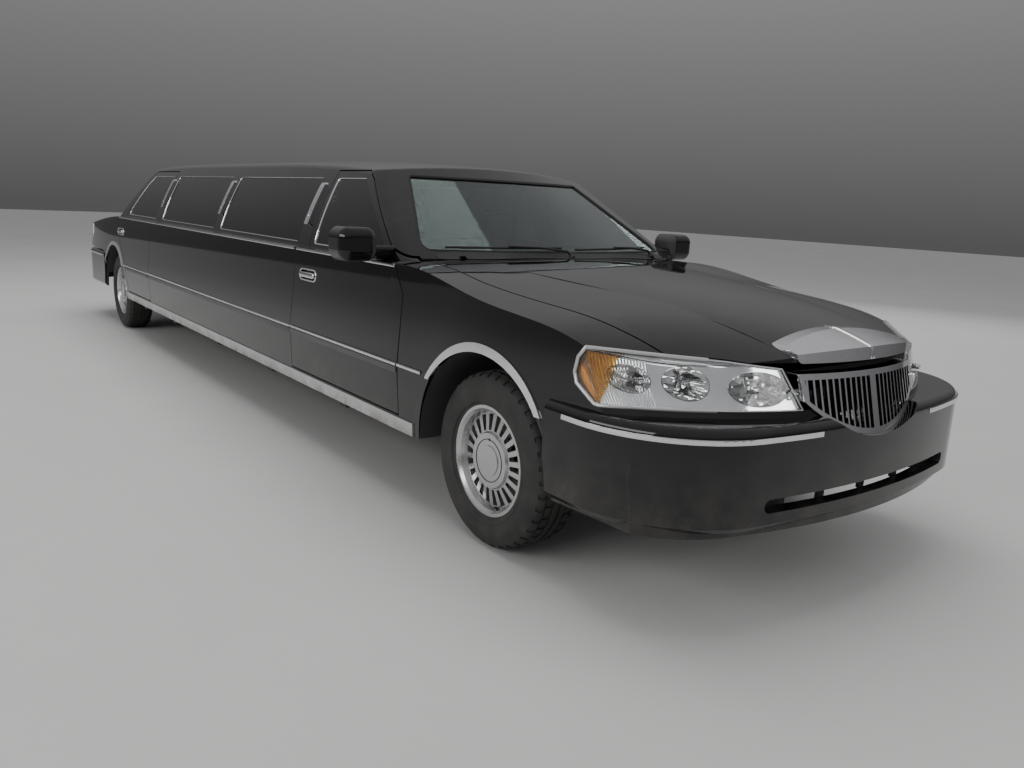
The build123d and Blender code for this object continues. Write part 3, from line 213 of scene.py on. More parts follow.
class Finish(Nodes):
    """A material, and what feeds its shader."""

    def __init__(self, name):
        self.material = bpy.data.materials.new(name)
        super().__init__(self.material, "Principled BSDF")

    def place(self, stretch=(1, 1, 1)):
        """Object coordinates, with each axis stretched."""
        return self.node("ShaderNodeMapping", inputs={
            "Vector": self.node("ShaderNodeTexCoord", output="Object"), "Scale": stretch})

    def noise(self, scale, detail=3.0, roughness=0.5, stretch=(1, 1, 1)):
        return self.node("ShaderNodeTexNoise", inputs={
            "Vector": self.place(stretch), "Scale": scale, "Detail": detail,
            "Roughness": roughness})

    def cells(self, scale, stretch=(1, 1, 1), output=0):
        """Voronoi cells: output 0 is the distance from a cell's middle, 1 its random colour."""
        return self.node("ShaderNodeTexVoronoi", inputs={
            "Vector": self.place(stretch), "Scale": scale}, output=output)

    def ramp(self, value, low, high, start=0.0, end=1.0):
        """Turns value's run from low to high into a run from start to end, and stops there."""
        return self.node("ShaderNodeMapRange", inputs={
            "Value": value, "From Min": low, "From Max": high, "To Min": start, "To Max": end})

    def mix(self, share, first, second):
        """A colour between two."""
        return self.node("ShaderNodeMix", {"data_type": "RGBA"},
                         {"Factor": share, 6: first, 7: second}, output=2)

    def bump(self, height, distance, strength=1.0):
        normal = self.node("ShaderNodeBump", inputs={
            "Height": height, "Distance": distance, "Strength": strength})
        self.set(Normal=normal)


def grey(value, tint=0.0):
    return (value, value, value * (1 + tint), 1.0)


def paint_finish(look):
    """Gloss black paint over the outside, with the cabin's trim and the arches' liner inside."""
    finish = Finish("black_paint")
    x, y, z = finish.axes()
    _, face_y, face_z = finish.facing()
    outward = face_y * finish.math("SIGN", y)
    lining = finish.ramp(outward, -0.2, -0.3) * (abs(y) > 0.55)
    ceiling = (face_z < -0.4) * (z > 1.30)
    arches = 0.0
    for axle in AXLES.values():
        reach = ((x - axle) ** 2 + (z - WHEEL_Z) ** 2) ** 0.5
        arches = arches + (reach < look.arch_radius) * (abs(y) < look.arch_edge)
    dull = finish.math("MAXIMUM", finish.math("MAXIMUM", lining, ceiling), arches)
    dust = finish.ramp(finish.noise(3.2, 8.0, 0.62), 0.52, 0.80) * finish.ramp(face_z, -0.2, 0.9)
    low_dirt = finish.ramp(z, 0.62, 0.30) * finish.ramp(finish.noise(9.0, 6.0, 0.6), 0.35, 0.75)
    film = dust * 0.05 + low_dirt * 0.16
    black = finish.mix(film, (*look.paint_colour, 1.0), (0.30, 0.27, 0.23, 1.0))
    trim = finish.mix(finish.noise(340.0, 2.0), grey(0.030), grey(0.062))
    finish.set(Base_Color=finish.mix(dull, black, trim))
    gloss = 0.035 + dust * 0.08 + low_dirt * 0.20
    finish.set(Roughness=gloss + dull * 0.64)
    finish.set(Coat_Weight=(1.0 - dull) * 0.25)
    finish.shader.inputs["Coat Roughness"].default_value = 0.02
    finish.shader.inputs["Specular IOR Level"].default_value = 0.42
    peel = finish.noise(240.0, 1.0) * (1.0 - dull) * 0.012 + finish.noise(700.0, 2.0) * dull * 0.5
    finish.bump(peel, 0.0009)
    return finish.material


def chrome_finish(name="bright_chrome", rough=0.045, level=0.82):
    finish = Finish(name)
    haze = finish.ramp(finish.noise(26.0, 6.0, 0.6), 0.45, 0.85)
    spots = finish.ramp(finish.cells(210.0), 0.10, 0.0) * haze
    finish.set(Metallic=1.0)
    finish.set(Base_Color=finish.mix(haze * 0.35, grey(level, 0.02), grey(level * 0.72)))
    finish.set(Roughness=rough + haze * 0.07 + spots * 0.15)
    finish.bump(finish.noise(45.0, 2.0), 0.0004, 0.5)
    return finish.material


def silver_finish():
    """Satin silver of the rocker mouldings, brushed along the car."""
    finish = Finish("satin_silver")
    z = finish.axes()[2]
    brushed = finish.noise(60.0, 5.0, 0.6, stretch=(0.06, 1.0, 14.0))
    road_film = finish.ramp(z, 0.40, 0.33) * finish.ramp(finish.noise(14.0, 7.0, 0.6), 0.3, 0.7)
    finish.set(Metallic=0.78 - road_film * 0.5)
    silver = finish.mix(brushed, grey(0.56), grey(0.70))
    finish.set(Base_Color=finish.mix(road_film, silver, (0.20, 0.18, 0.16, 1.0)))
    finish.set(Roughness=0.26 + brushed * 0.14 + road_film * 0.3)
    finish.bump(brushed, 0.0003, 0.6)
    return finish.material


def window_finish(name, colour):
    """Tinted glass with a little dust on it."""
    finish = Finish(name)
    dust = finish.ramp(finish.noise(6.0, 7.0, 0.65), 0.5, 0.85)
    finish.set(Base_Color=finish.mix(dust * 0.04, (*colour, 1.0), grey(0.4)))
    finish.set(Roughness=0.01 + dust * 0.03)
    finish.shader.inputs["Transmission Weight"].default_value = 1.0
    finish.shader.inputs["IOR"].default_value = 1.5
    return finish.material


def lens_finish(name, colour, ribs=0.0):
    """Lamp glass, ribbed where ribs are given as waves per metre."""
    finish = Finish(name)
    haze = finish.ramp(finish.noise(18.0, 6.0, 0.6), 0.5, 0.9)
    finish.set(Base_Color=finish.mix(haze * 0.1, (*colour, 1.0), grey(0.85)))
    finish.set(Roughness=0.015 + haze * 0.05)
    finish.shader.inputs["Transmission Weight"].default_value = 1.0
    finish.shader.inputs["IOR"].default_value = 1.49
    if ribs:
        _, y, z = finish.axes()
        finish.bump(finish.sine(y * ribs) + finish.sine(z * ribs), 0.0010)
    return finish.material


def reflector_finish():
    """Bright reflector with faceted bowls, the outermost one fluted; inside the bowls each facet
    is painted a random grey, dark to light, as painted shade and painted reflection.
    """
    finish = Finish("lamp_reflector")
    _, y, z = finish.axes()
    across = abs(y)
    bowls = 0.0
    for middle, height, half, high in BOWLS:
        reach = ((across - middle) / half) ** 2 + ((z - height) / high) ** 2
        bowls = bowls + finish.ramp(reach, 1.06, 0.98)
    # Voronoi cells: their distance gives the facets' bump, their random colour the facets' painted
    # shade
    facets, painted_facet_shades = (finish.cells(34.0, (0.35, 1.0, 1.0), output) for output in (0, 1))
    flutes = finish.sine(across * RIBS)
    fluted = finish.ramp(across, 0.765, 0.775)
    # Painted shade and painted reflection: a random grey per facet, from dark to light, inside the
    # bowls
    dark = finish.mix(painted_facet_shades, grey(0.10), grey(0.80))
    finish.set(Base_Color=finish.mix(bowls, grey(0.94, 0.02), dark))
    finish.set(Metallic=0.62 + bowls * 0.38)
    finish.set(Roughness=0.06 + finish.noise(50.0) * 0.05)
    finish.bump(facets * bowls * 5.0 + flutes * fluted * 0.4, 0.0030)
    return finish.material


def rubber_finish():
    """Tyre rubber with patches of grey dust."""
    finish = Finish("tyre_rubber")
    dust = finish.ramp(finish.noise(11.0, 8.0, 0.65), 0.35, 0.8)
    grain = finish.noise(420.0, 3.0)
    finish.set(Base_Color=finish.mix(dust, grey(0.016), (0.055, 0.052, 0.048, 1.0)))
    finish.set(Roughness=0.62 + dust * 0.2)
    finish.bump(grain, 0.0012, 0.7)
    return finish.material


def alloy_finish():
    """Machined wheel with brake dust deep in its slots."""
    finish = Finish("machined_alloy")
    depth = finish.ramp(abs(finish.axes()[1]), 0.875, 0.83)
    grime = depth * finish.ramp(finish.noise(40.0, 6.0, 0.6), 0.3, 0.7)
    turned = finish.noise(160.0, 3.0)
    finish.set(Metallic=1.0 - grime * 0.5)
    finish.set(Base_Color=finish.mix(grime, finish.mix(turned, grey(0.50), grey(0.64)),
                                     (0.09, 0.08, 0.07, 1.0)))
    finish.set(Roughness=0.20 + turned * 0.10 + grime * 0.4)
    finish.bump(turned, 0.0002, 0.5)
    return finish.material


def plain_finish(name, dark, light, rough, grain, depth, metallic=0.0, tint=0.0):
    """A dull or satin surface whose colour and bump vary with a grain."""
    finish = Finish(name)
    fine = finish.noise(grain, 4.0, 0.6)
    broad = finish.noise(6.0, 6.0, 0.6)
    finish.set(Metallic=metallic)
    finish.set(Base_Color=finish.mix(fine * 0.5 + broad * 0.5, grey(dark, tint),
                                     grey(light, tint)))
    finish.set(Roughness=rough + broad * 0.15)
    finish.bump(fine, depth)
    return finish.material


def leather_finish(look):
    finish = Finish("seat_leather")
    cells = finish.cells(190.0)
    folds = finish.noise(22.0, 5.0, 0.6)
    seams = finish.ramp(abs(finish.sine(finish.axes()[1] * SEAMS)), 0.0, 0.16)
    finish.set(Base_Color=finish.mix(folds, (*look.leather_colour, 1.0), grey(0.075)))
    finish.set(Roughness=0.42 + folds * 0.18)
    finish.bump(cells + folds * 0.7 + seams * 4.0, 0.0011)
    return finish.material


def floor_finish():
    finish = Finish("pale_floor")
    patches = finish.noise(0.7, 6.0, 0.55)
    finish.set(Base_Color=finish.mix(patches, grey(0.46, -0.02), grey(0.54, -0.02)))
    finish.set(Roughness=0.72)
    finish.bump(finish.noise(90.0, 4.0), 0.0008)
    return finish.material


# Materials by name, filled by the first operator
MADE = {}


# Modelling steps, done as by hand
def placed(name, data):
    """A new object in the scene."""
    piece = bpy.data.objects.new(name, data)
    bpy.context.scene.collection.objects.link(piece)
    return piece


def only(*pieces):
    """Selects these pieces alone, with the first one active."""
    bpy.ops.object.select_all(action="DESELECT")
    for piece in pieces:
        piece.select_set(True)
    bpy.context.view_layer.objects.active = pieces[0]


def pick(piece, test, kind="FACE"):
    """Goes into edit mode with the faces, edges or vertices that pass a test selected."""
    only(piece)
    bpy.ops.object.mode_set(mode="EDIT")
    bpy.ops.mesh.select_mode(type=kind)
    bpy.ops.mesh.select_all(action="DESELECT")
    bpy.ops.object.mode_set(mode="OBJECT")
    mesh = piece.data
    items = {"FACE": mesh.polygons, "EDGE": mesh.edges, "VERT": mesh.vertices}[kind]
    for item in items:
        item.select = bool(test(item))
    bpy.ops.object.mode_set(mode="EDIT")


def leave():
    bpy.ops.object.mode_set(mode="OBJECT")


def everything(piece):
    only(piece)
    bpy.ops.object.mode_set(mode="EDIT")
    bpy.ops.mesh.select_all(action="SELECT")


def modify(piece, kind, **settings):
    """Adds a modifier and applies it."""
    only(piece)
    modifier = piece.modifiers.new(kind.lower(), kind)
    for key, setting in settings.items():
        setattr(modifier, key, setting)
    bpy.ops.object.modifier_apply(modifier=modifier.name)


def settle(piece):
    """Puts a piece's place in its mesh."""
    only(piece)
    bpy.ops.object.transform_apply(location=True, rotation=True, scale=True)


def join(pieces):
    only(*pieces)
    bpy.ops.object.join()
    return pieces[0]


def finished(piece, name, body, finish, angle=30, merge=True, recalculate=True):
    """Names a piece, smooths it, and gives it its material and the body it rides on."""
    settle(piece)
    everything(piece)
    if merge:
        bpy.ops.mesh.remove_doubles(threshold=0.00002)
    if recalculate:
        bpy.ops.mesh.normals_make_consistent(inside=False)
    leave()
    bpy.ops.object.shade_smooth_by_angle(angle=math.radians(angle))
    piece.name = name
    piece.data.materials.clear()
    piece.data.materials.append(MADE[finish])
    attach(piece, body)
    return piece


def copy_of(node, name):
    """A copy of a CAD node's mesh with its loose triangles merged."""
    piece = placed(name, NODES[node].data.copy())
    everything(piece)
    bpy.ops.mesh.customdata_custom_splitnormals_clear()
    bpy.ops.mesh.remove_doubles(threshold=0.00005)
    leave()
    return piece


def trim_to(piece, cuts):
    """Cuts a mesh by planes, each a point and a normal, and drops what lies beyond them."""
    for point, normal in cuts:
        everything(piece)
        bpy.ops.mesh.bisect(plane_co=point, plane_no=normal, clear_outer=True)
        leave()


def between(x=None, y=None, z=None):
    """Cuts that keep what lies between two places along each axis that is given."""
    cuts = []
    for axis, ends in zip((Vector((1, 0, 0)), Vector((0, 1, 0)), Vector((0, 0, 1))), (x, y, z)):
        if ends:
            cuts.append((axis * ends[0], -axis))
            cuts.append((axis * ends[1], axis))
    return cuts


def looks_out(sign, least, wide=0.0):
    """A test for the faces that look to one side of the car, beyond a half width."""
    return lambda face: face.normal.y * sign > least and abs(face.center.y) > wide


def drop_faces(piece, test):
    pick(piece, test)
    bpy.ops.mesh.delete(type="FACE")
    leave()


def skin_band(name, node, cuts, keep, proud, body, finish, edge=0.0012):
    """A strip that lies on a CAD node's own surface, a little proud of it."""
    piece = copy_of(node, name)
    trim_to(piece, cuts)
    drop_faces(piece, lambda face: not keep(face))
    modify(piece, "SOLIDIFY", thickness=proud + 0.001, offset=1 - 2 * 0.001 / (proud + 0.001),
           use_even_offset=False)
    if edge:
        modify(piece, "BEVEL", width=edge, segments=2, limit_method="ANGLE", angle_limit=0.9)
    return finished(piece, name, body, finish)


def edge_tube(piece, keep, radius, keep_edge=None):
    """A round bead along the edge of the faces that pass a test, in place of the piece."""
    pick(piece, keep)
    bpy.ops.mesh.region_to_loop()
    bpy.ops.mesh.duplicate()
    bpy.ops.mesh.separate(type="SELECTED")
    leave()
    loop = [one for one in bpy.context.selected_objects if one != piece][0]
    bpy.data.objects.remove(piece)
    if keep_edge:
        pick(loop, lambda edge: not keep_edge(
            (loop.data.vertices[edge.vertices[0]].co + loop.data.vertices[edge.vertices[1]].co)
            / 2), "EDGE")
        bpy.ops.mesh.delete(type="EDGE")
        leave()
    only(loop)
    bpy.ops.object.convert(target="CURVE")
    return tube_of(bpy.context.view_layer.objects.active, radius)


def tube_of(curve, radius):
    curve.data.bevel_depth = radius
    curve.data.bevel_resolution = 3
    curve.data.use_fill_caps = True
    only(curve)
    bpy.ops.object.convert(target="MESH")
    return bpy.context.view_layer.objects.active


def rim_bead(name, node, keep, radius, body, finish, keep_edge=None):
    """A round bead along the edge of the faces of a CAD node that pass a test."""
    tube = edge_tube(copy_of(node, name), keep, radius, keep_edge)
    return finished(tube, name, body, finish, angle=50)


def rod_piece(name, points, radius):
    """A round bar through some points."""
    curve = bpy.data.curves.new(name, "CURVE")
    curve.dimensions = "3D"
    line = curve.splines.new("POLY")
    line.points.add(len(points) - 1)
    for point, place in zip(line.points, points):
        point.co = (*place, 1)
    return tube_of(placed(name, curve), radius)


def box_piece(name, low, high, edge=0.0):
    """A block between two corners, with its edges rounded."""
    low, high = Vector(low), Vector(high)
    bpy.ops.mesh.primitive_cube_add(size=1, location=(low + high) / 2)
    piece = bpy.context.active_object
    piece.name = name
    piece.scale = high - low
    settle(piece)
    if edge:
        modify(piece, "BEVEL", width=edge, segments=2)
    return piece


def disc_piece(name, middle, radius, deep, edge=0.0, sides=48):
    """A disc whose axis lies along Y."""
    bpy.ops.mesh.primitive_cylinder_add(vertices=sides, radius=radius, depth=deep,
                                        location=middle, rotation=(math.pi / 2, 0, 0))
    piece = bpy.context.active_object
    piece.name = name
    settle(piece)
    if edge:
        modify(piece, "BEVEL", width=edge, segments=2, limit_method="ANGLE", angle_limit=0.9)
    return piece


def ball_piece(name, middle, size):
    """An ellipsoid with the half sizes given."""
    bpy.ops.mesh.primitive_uv_sphere_add(segments=20, ring_count=12, radius=1, location=middle)
    piece = bpy.context.active_object
    piece.name = name
    piece.scale = size
    settle(piece)
    return piece


def bulb_piece(name, place, size):
    """A small bulb with its stem, pointing forward."""
    piece = ball_piece(name, place, (size * 1.4, size, size))
    back = place[0] - size * 0.95
    pick(piece, lambda face: face.center.x < back)
    bpy.ops.mesh.extrude_region_move(TRANSFORM_OT_translate={"value": (-size * 1.6, 0, 0)})
    leave()
    return piece


def oval_piece(name, middle, long, high, deep, edge=0.0, turn=0.0):
    """A stadium that stands out along Y, with its outer edges rounded."""
    reach = (long - high) / 2
    piece = disc_piece(name, (0, 0, 0), high / 2, deep, sides=32)
    for way in (-1, 1):
        pick(piece, lambda vertex: vertex.co.x * way > 0.0001, "VERT")
        bpy.ops.transform.translate(value=(way * reach, 0, 0))
        leave()
    if edge:
        modify(piece, "BEVEL", width=edge, segments=3, limit_method="ANGLE", angle_limit=0.9)
    piece.rotation_euler = (turn, 0, 0)
    piece.location = middle
    settle(piece)
    return piece


class LimousineLook(bpy.types.PropertyGroup):
    """Colours and sizes that a user would change."""

    paint_colour: bpy.props.FloatVectorProperty(
        name="Paint", description="Colour of the body's paint", subtype="COLOR", size=3,
        default=(0.0035, 0.0035, 0.0042), min=0.0, max=1.0)
    leather_colour: bpy.props.FloatVectorProperty(
        name="Leather", description="Colour of the seats", subtype="COLOR", size=3,
        default=(0.030, 0.030, 0.032), min=0.0, max=1.0)
    screen_colour: bpy.props.FloatVectorProperty(
        name="Windscreen", description="Tint of the windscreen", subtype="COLOR", size=3,
        default=(0.42, 0.55, 0.52), min=0.0, max=1.0)
    window_colour: bpy.props.FloatVectorProperty(
        name="Windows", description="Tint of the side and back windows", subtype="COLOR", size=3,
        default=(0.055, 0.060, 0.058), min=0.0, max=1.0)
    amber_colour: bpy.props.FloatVectorProperty(
        name="Turn signals", description="Colour of the turn signals", subtype="COLOR", size=3,
        default=(1.0, 0.58, 0.08), min=0.0, max=1.0)
    arch_radius: bpy.props.FloatProperty(
        name="Arch", description="Radius inside which a wheel arch is lined", unit="LENGTH",
        default=TYRE_RADIUS + 0.0875, min=0.3, max=0.6)
    arch_edge: bpy.props.FloatProperty(
        name="Arch edge", description="Half width inside which a wheel arch is lined",
        unit="LENGTH", default=0.945, min=0.5, max=1.0)


class TyreLook(bpy.types.PropertyGroup):
    """Sizes of the tyres."""

    blocks: bpy.props.IntProperty(
        name="Blocks", description="Tread blocks round a tyre", default=60, min=20, max=120)
    groove: bpy.props.FloatProperty(
        name="Groove", description="Depth of the tread", unit="LENGTH", default=0.006,
        min=0.001, max=0.012)


class ArchLook(bpy.types.PropertyGroup):
    """Sizes of the arch lips."""

    arch_radius: bpy.props.FloatProperty(
        name="Arch", description="Radius of the wheel arches", unit="LENGTH", default=0.428,
        min=0.3, max=0.6)
    lip_top: bpy.props.FloatProperty(
        name="Lip at top", description="Width of a lip over the wheel", unit="LENGTH",
        default=0.036, min=0.005, max=0.044)
    lip_end: bpy.props.FloatProperty(
        name="Lip at ends", description="Width of a lip level with the axle", unit="LENGTH",
        default=0.006, min=0.001, max=0.044)
    lip_foot: bpy.props.FloatProperty(
        name="Foot", description="Height at which the lips end", unit="LENGTH", default=0.612,
        min=0.35, max=0.7)


class SeatLook(bpy.types.PropertyGroup):
    """How the seats are rounded."""

    grain: bpy.props.FloatProperty(
        name="Grain", description="Size of the seats' facets", unit="LENGTH", default=0.014,
        min=0.008, max=0.04)
    softness: bpy.props.IntProperty(
        name="Softness", description="How far the seats' corners are rounded", default=10, min=0,
        max=40)


class LIMOUSINE_OT_finishes(bpy.types.Operator):
    """Gives every node its material"""

    bl_idname = "limousine.finishes"
    bl_label = "Finishes"

    def execute(self, context):
        look = context.scene.limousine_look
        MADE.update({
            "paint": paint_finish(look),
            "chrome": chrome_finish(),
            "silver": silver_finish(),
            "screen": window_finish("screen_glass", look.screen_colour),
            "window": window_finish("window_glass", look.window_colour),
            "lens": lens_finish("clear_lens", (0.97, 0.98, 0.98)),
            "amber": lens_finish("amber_lens", look.amber_colour, ribs=RIBS),
            "red_lens": lens_finish("red_lens", (0.75, 0.01, 0.01), ribs=700.0),
            "reflector": reflector_finish(),
            "bulb": lens_finish("bulb_glass", (0.92, 0.94, 0.98)),
            "rubber": rubber_finish(),
            "alloy": alloy_finish(),
            "leather": leather_finish(look),
            "floor": floor_finish(),
            "black_plastic": plain_finish("black_plastic", 0.012, 0.026, 0.42, 500.0, 0.0006),
            "seal": plain_finish("rubber_seal", 0.008, 0.016, 0.55, 300.0, 0.0005),
            "chassis": plain_finish("chassis_paint", 0.016, 0.042, 0.50, 120.0, 0.0012),
            "steel": plain_finish("exhaust_steel", 0.16, 0.34, 0.34, 90.0, 0.0008, 0.9, -0.08),
            "cast": plain_finish("cast_metal", 0.12, 0.24, 0.48, 260.0, 0.0020, 0.8),
            "dash": plain_finish("dash_plastic", 0.030, 0.055, 0.55, 420.0, 0.0012),
            "mirror": chrome_finish("mirror_glass", 0.004, 0.9),
            "grey_strip": plain_finish("grey_strip", 0.050, 0.090, 0.36, 200.0, 0.0004),
        })
        slots = {
            "paint": "paint", "chrome": "chrome", "silver_trim": "silver",
            "window_glass": "window", "lamp_clear": "lens", "lamp_reflector": "reflector",
            "lamp_red": "red_lens", "tyre": "rubber", "alloy": "alloy", "black_steel": "chassis",
            "exhaust_steel": "steel", "cast_metal": "cast", "seat_leather": "leather",
            "dash_plastic": "dash",
        }
        for part in frame["record"]["subparts"]:
            node = NODES[part["node"]]
            node.data.materials.clear()
            node.data.materials.append(MADE[slots[part["material_slot"]]])
        return {"FINISHED"}


class LIMOUSINE_OT_stage(bpy.types.Operator):
    """Sets the floor, the lights and the camera"""

    bl_idname = "limousine.stage"
    bl_label = "Stage"

    def execute(self, context):
        bpy.ops.mesh.primitive_plane_add(size=80, location=(0, 0, 0))
        floor = context.active_object
        floor.name = "floor"
        floor.data.materials.append(MADE["floor"])
        self.world(context.scene)
        self.lights()
        self.camera(context.scene)
        return {"FINISHED"}

    def world(self, scene):
        """Grey room that gets lighter with height."""
        scene.world = bpy.data.worlds.new("studio")
        sky = Nodes(scene.world, "Background")
        height = sky.parts("Generated")[2] * 0.5 + 0.5
        stops = [(position, grey(level, 0.02)) for position, level in SKY]
        sky.set(Color=sky.node("ShaderNodeValToRGB", {"stops": stops}, {0: height}),
                Strength=SKY_STRENGTH)

    def lights(self):
        for name, place, (long, high), power in LIGHTS:
            lamp = bpy.data.lights.new(name, "AREA")
            lamp.shape = "RECTANGLE"
            lamp.size = long
            lamp.size_y = high
            lamp.energy = power
            piece = placed(name, lamp)
            piece.location = place
            piece.visible_glossy = name == "near_side"
            if name != "overhead":
                aim = LIGHTS_AIM - Vector(place)
                piece.rotation_euler = aim.to_track_quat("-Z", "Y").to_euler()

    def camera(self, scene):
        lens = bpy.data.cameras.new("camera")
        lens.lens = CAMERA_LENS
        scene.camera = placed("camera", lens)
        yaw, pitch, roll = (math.radians(angle) for angle in CAMERA_TURN)
        ahead = Vector((math.cos(pitch) * math.cos(yaw), math.cos(pitch) * math.sin(yaw),
                        math.sin(pitch)))
        right = ahead.cross(Vector((0, 0, 1))).normalized()
        up = right.cross(ahead)
        right_turned = math.cos(roll) * right + math.sin(roll) * up
        up_turned = -math.sin(roll) * right + math.cos(roll) * up
        turn = Matrix((right_turned, up_turned, -ahead)).transposed().to_4x4()
        scene.camera.matrix_world = Matrix.Translation(CAMERA_PLACE) @ turn


class LIMOUSINE_OT_glass(bpy.types.Operator):
    """Lighter glass for the windscreen, and seals and bright beads round every window"""

    bl_idname = "limousine.glass"
    bl_label = "Windows"

    def execute(self, context):
        piece = copy_of("cabin_glass", "windscreen")
        trim_to(piece, between(x=(FRONT_AXLE - 1.9, FRONT_AXLE)))
        finished(piece, "windscreen", "body", "screen")
        rest = copy_of("cabin_glass", "saloon_glass")
        trim_to(rest, between(x=(-4.0, FRONT_AXLE - 1.9)))
        finished(rest, "saloon_glass", "body", "window")
        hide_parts("cabin_glass")
        rim_bead("screen_seal", "cabin_glass", lambda face: (
            face.center.x > FRONT_AXLE - 1.7 and abs(face.center.y) < 0.79
            and face.normal.x > 0.3 and face.normal.z > 0.1),
            0.009, "body", "seal")
        rim_bead("back_seal", "cabin_glass", lambda face: (
            face.center.x < REAR_AXLE + 0.62 and abs(face.center.y) < 0.72
            and face.normal.x < -0.3 and face.normal.z > 0.1),
            0.008, "body", "chrome")
        for side, sign in SIDES:
            rim_bead("stretch_beads_" + side, "cabin_glass", lambda face: (
                REAR_AXLE + 1.2 < face.center.x < FRONT_AXLE - 1.75
                and face.normal.y * sign > 0.5),
                0.005, "body", "chrome")
            for place in AXLES:
                door = f"{place}_door_{side}"
                rim_bead(f"{door}_bead", f"{place}_door_glass_{side}",
                         looks_out(sign, 0.5), 0.0065, door, "chrome")
        return {"FINISHED"}


class LIMOUSINE_OT_mouldings(bpy.types.Operator):
    """Bright lines and grey strips along the sides, and the bumpers' bright strips"""

    bl_idname = "limousine.mouldings"
    bl_label = "Mouldings"

    def execute(self, context):
        stretch = (REAR_AXLE + 1.27, FRONT_AXLE - 1.79)
        line, bar = (0.620, 0.634), (0.645, 0.661)
        for side, sign in SIDES:
            outside = looks_out(sign, 0.6, 0.85)
            flank = sorted((sign * 0.8, sign * 1.2))
            front, rear = f"front_door_{side}", f"rear_door_{side}"
            for node, body, label, span in ((front, front, front, None), (rear, rear, rear, None),
                                            ("body_shell", "body", "stretch_" + side, stretch)):
                skin_band(f"{label}_line", node, between(span, flank, line), outside, 0.007,
                          body, "chrome")
                skin_band(f"{label}_strip", node, between(span, flank, (0.588, 0.616)), outside,
                          0.006, body, "grey_strip", edge=0.002)
                skin_band(f"{label}_belt", node, between(span, flank, (1.036, 1.049)),
                          looks_out(sign, 0.6), 0.005, body, "chrome")
            skin_band(f"fender_line_{side}", "front_fenders",
                      between((FRONT_AXLE - 0.62, FRONT_AXLE - 0.405), flank, line),
                      outside, 0.007, "body", "chrome")
            skin_band(f"bumper_strip_{side}", "front_bumper",
                      between((FRONT_AXLE + 0.50, NOSE + 0.1),
                              sorted((sign * 0.34, sign * 1.2)), bar),
                      lambda face: abs(face.normal.z) < 0.7 and (
                          face.center.x > FRONT_AXLE + 0.98 or abs(face.center.y) > 0.90
                          or face.normal.x > 0.2),
                      0.006, "body", "chrome")
            skin_band(f"rear_bumper_strip_{side}", "rear_bumper",
                      between((TAIL - 0.1, REAR_AXLE - 0.50),
                              sorted((sign * 0.20, sign * 1.2)), bar),
                      lambda face: abs(face.normal.z) < 0.7 and (
                          face.normal.x < -0.2 or face.normal.y * sign > 0.2),
                      0.006, "body", "chrome")
        return {"FINISHED"}


class LIMOUSINE_OT_arches(bpy.types.Operator):
    """Arch lips that taper from the top towards their ends"""

    bl_idname = "limousine.arches"
    bl_label = "Arch lips"

    def execute(self, context):
        look = context.scene.limousine_arches
        radius = look.arch_radius + look.lip_end
        rise = look.lip_top - look.lip_end
        piece = copy_of("arch_trim", "arch_lips")
        trim_to(piece, [((0, 0, look.lip_foot), (0, 0, -1))])
        everything(piece)
        bpy.ops.mesh.fill_holes(sides=0)
        leave()
        rounds = join([disc_piece("round", (axle, 0, WHEEL_Z + rise), radius, 2.4, sides=160)
                       for axle in AXLES.values()])
        modify(piece, "BOOLEAN", operation="INTERSECT", object=rounds, solver="EXACT")
        bpy.data.objects.remove(rounds)
        finished(piece, "arch_lips", "body", "chrome")
        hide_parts("arch_trim")
        return {"FINISHED"}


class LIMOUSINE_OT_headlamps(bpy.types.Operator):
    """Turn signals, bulbs and bezels of the headlamps"""

    bl_idname = "limousine.headlamps"
    bl_label = "Headlamps"

    def execute(self, context):
        for side, sign in SIDES:
            outward = Vector((0.6, 0.8 * sign, 0.0))

            def outside(face):
                return face.normal.dot(outward) > 0.3 and face.center.y * sign > 0

            rim_bead("lamp_rim_" + side, "headlamp_lenses", outside, 0.0036, "body",
                     "chrome")
            rim_bead("lamp_bezel_" + side, "headlamp_lenses", outside, 0.0074, "body",
                     "silver", keep_edge=lambda place: abs(place.y) > 0.62)
            signal = copy_of("headlamp_lenses", "signal")
            trim_to(signal, between(x=(FRONT_AXLE + 0.45, FRONT_AXLE + 0.615),
                                    y=sorted((0.0, sign * 1.2))))
            drop_faces(signal, lambda face: not outside(face))
            everything(signal)
            bpy.ops.transform.shrink_fatten(value=-0.0062)
            leave()
            modify(signal, "SOLIDIFY", thickness=0.003, offset=-1)
            finished(signal, "turn_signal_" + side, "body", "amber")
            for number, (x, y, z, size) in enumerate((
                    (0.700, 0.818, 0.800, 0.010), (0.765, 0.680, 0.792, 0.011),
                    (0.905, 0.500, 0.780, 0.012), (0.965, 0.372, 0.775, 0.008))):
                bulb = bulb_piece("bulb", (FRONT_AXLE + x, sign * y, z), size)
                finished(bulb, f"bulb_{side}_{number}", "body",
                         "chrome" if number == 2 else "bulb")
        return {"FINISHED"}


class LIMOUSINE_OT_nose(bpy.types.Operator):
    """The grille's dark back, the header's ridge and the frame in the bumper's slot"""

    bl_idname = "limousine.nose"
    bl_label = "Nose"

    def execute(self, context):
        back = box_piece("grille_back", (FRONT_AXLE + 0.880, -0.33, 0.640),
                         (FRONT_AXLE + 0.886, 0.33, 0.822), 0.002)
        finished(back, "grille_back", "body", "black_plastic")
        skin_band("header_ridge", "hood_header", between(y=(-0.010, 0.010)),
                  lambda face: face.normal.z > 0.25 or face.normal.x > 0.35, 0.0035,
                  "hood", "chrome", edge=0.0015)
        posts = []
        for inner, outer in ((0.0, 0.018), (0.215, 0.255), (0.400, 0.545)):
            for way in (-1, 1):
                middle = (inner + outer) / 2
                x = NOSE - 0.052 - middle ** 2 / 6.4
                ends = sorted((way * inner, way * outer))
                posts.append(box_piece("post", (x - 0.012, ends[0], 0.404),
                                       (x, ends[1], 0.464), 0.002))
        finished(join(posts), "slot_frame", "body", "black_plastic")
        return {"FINISHED"}


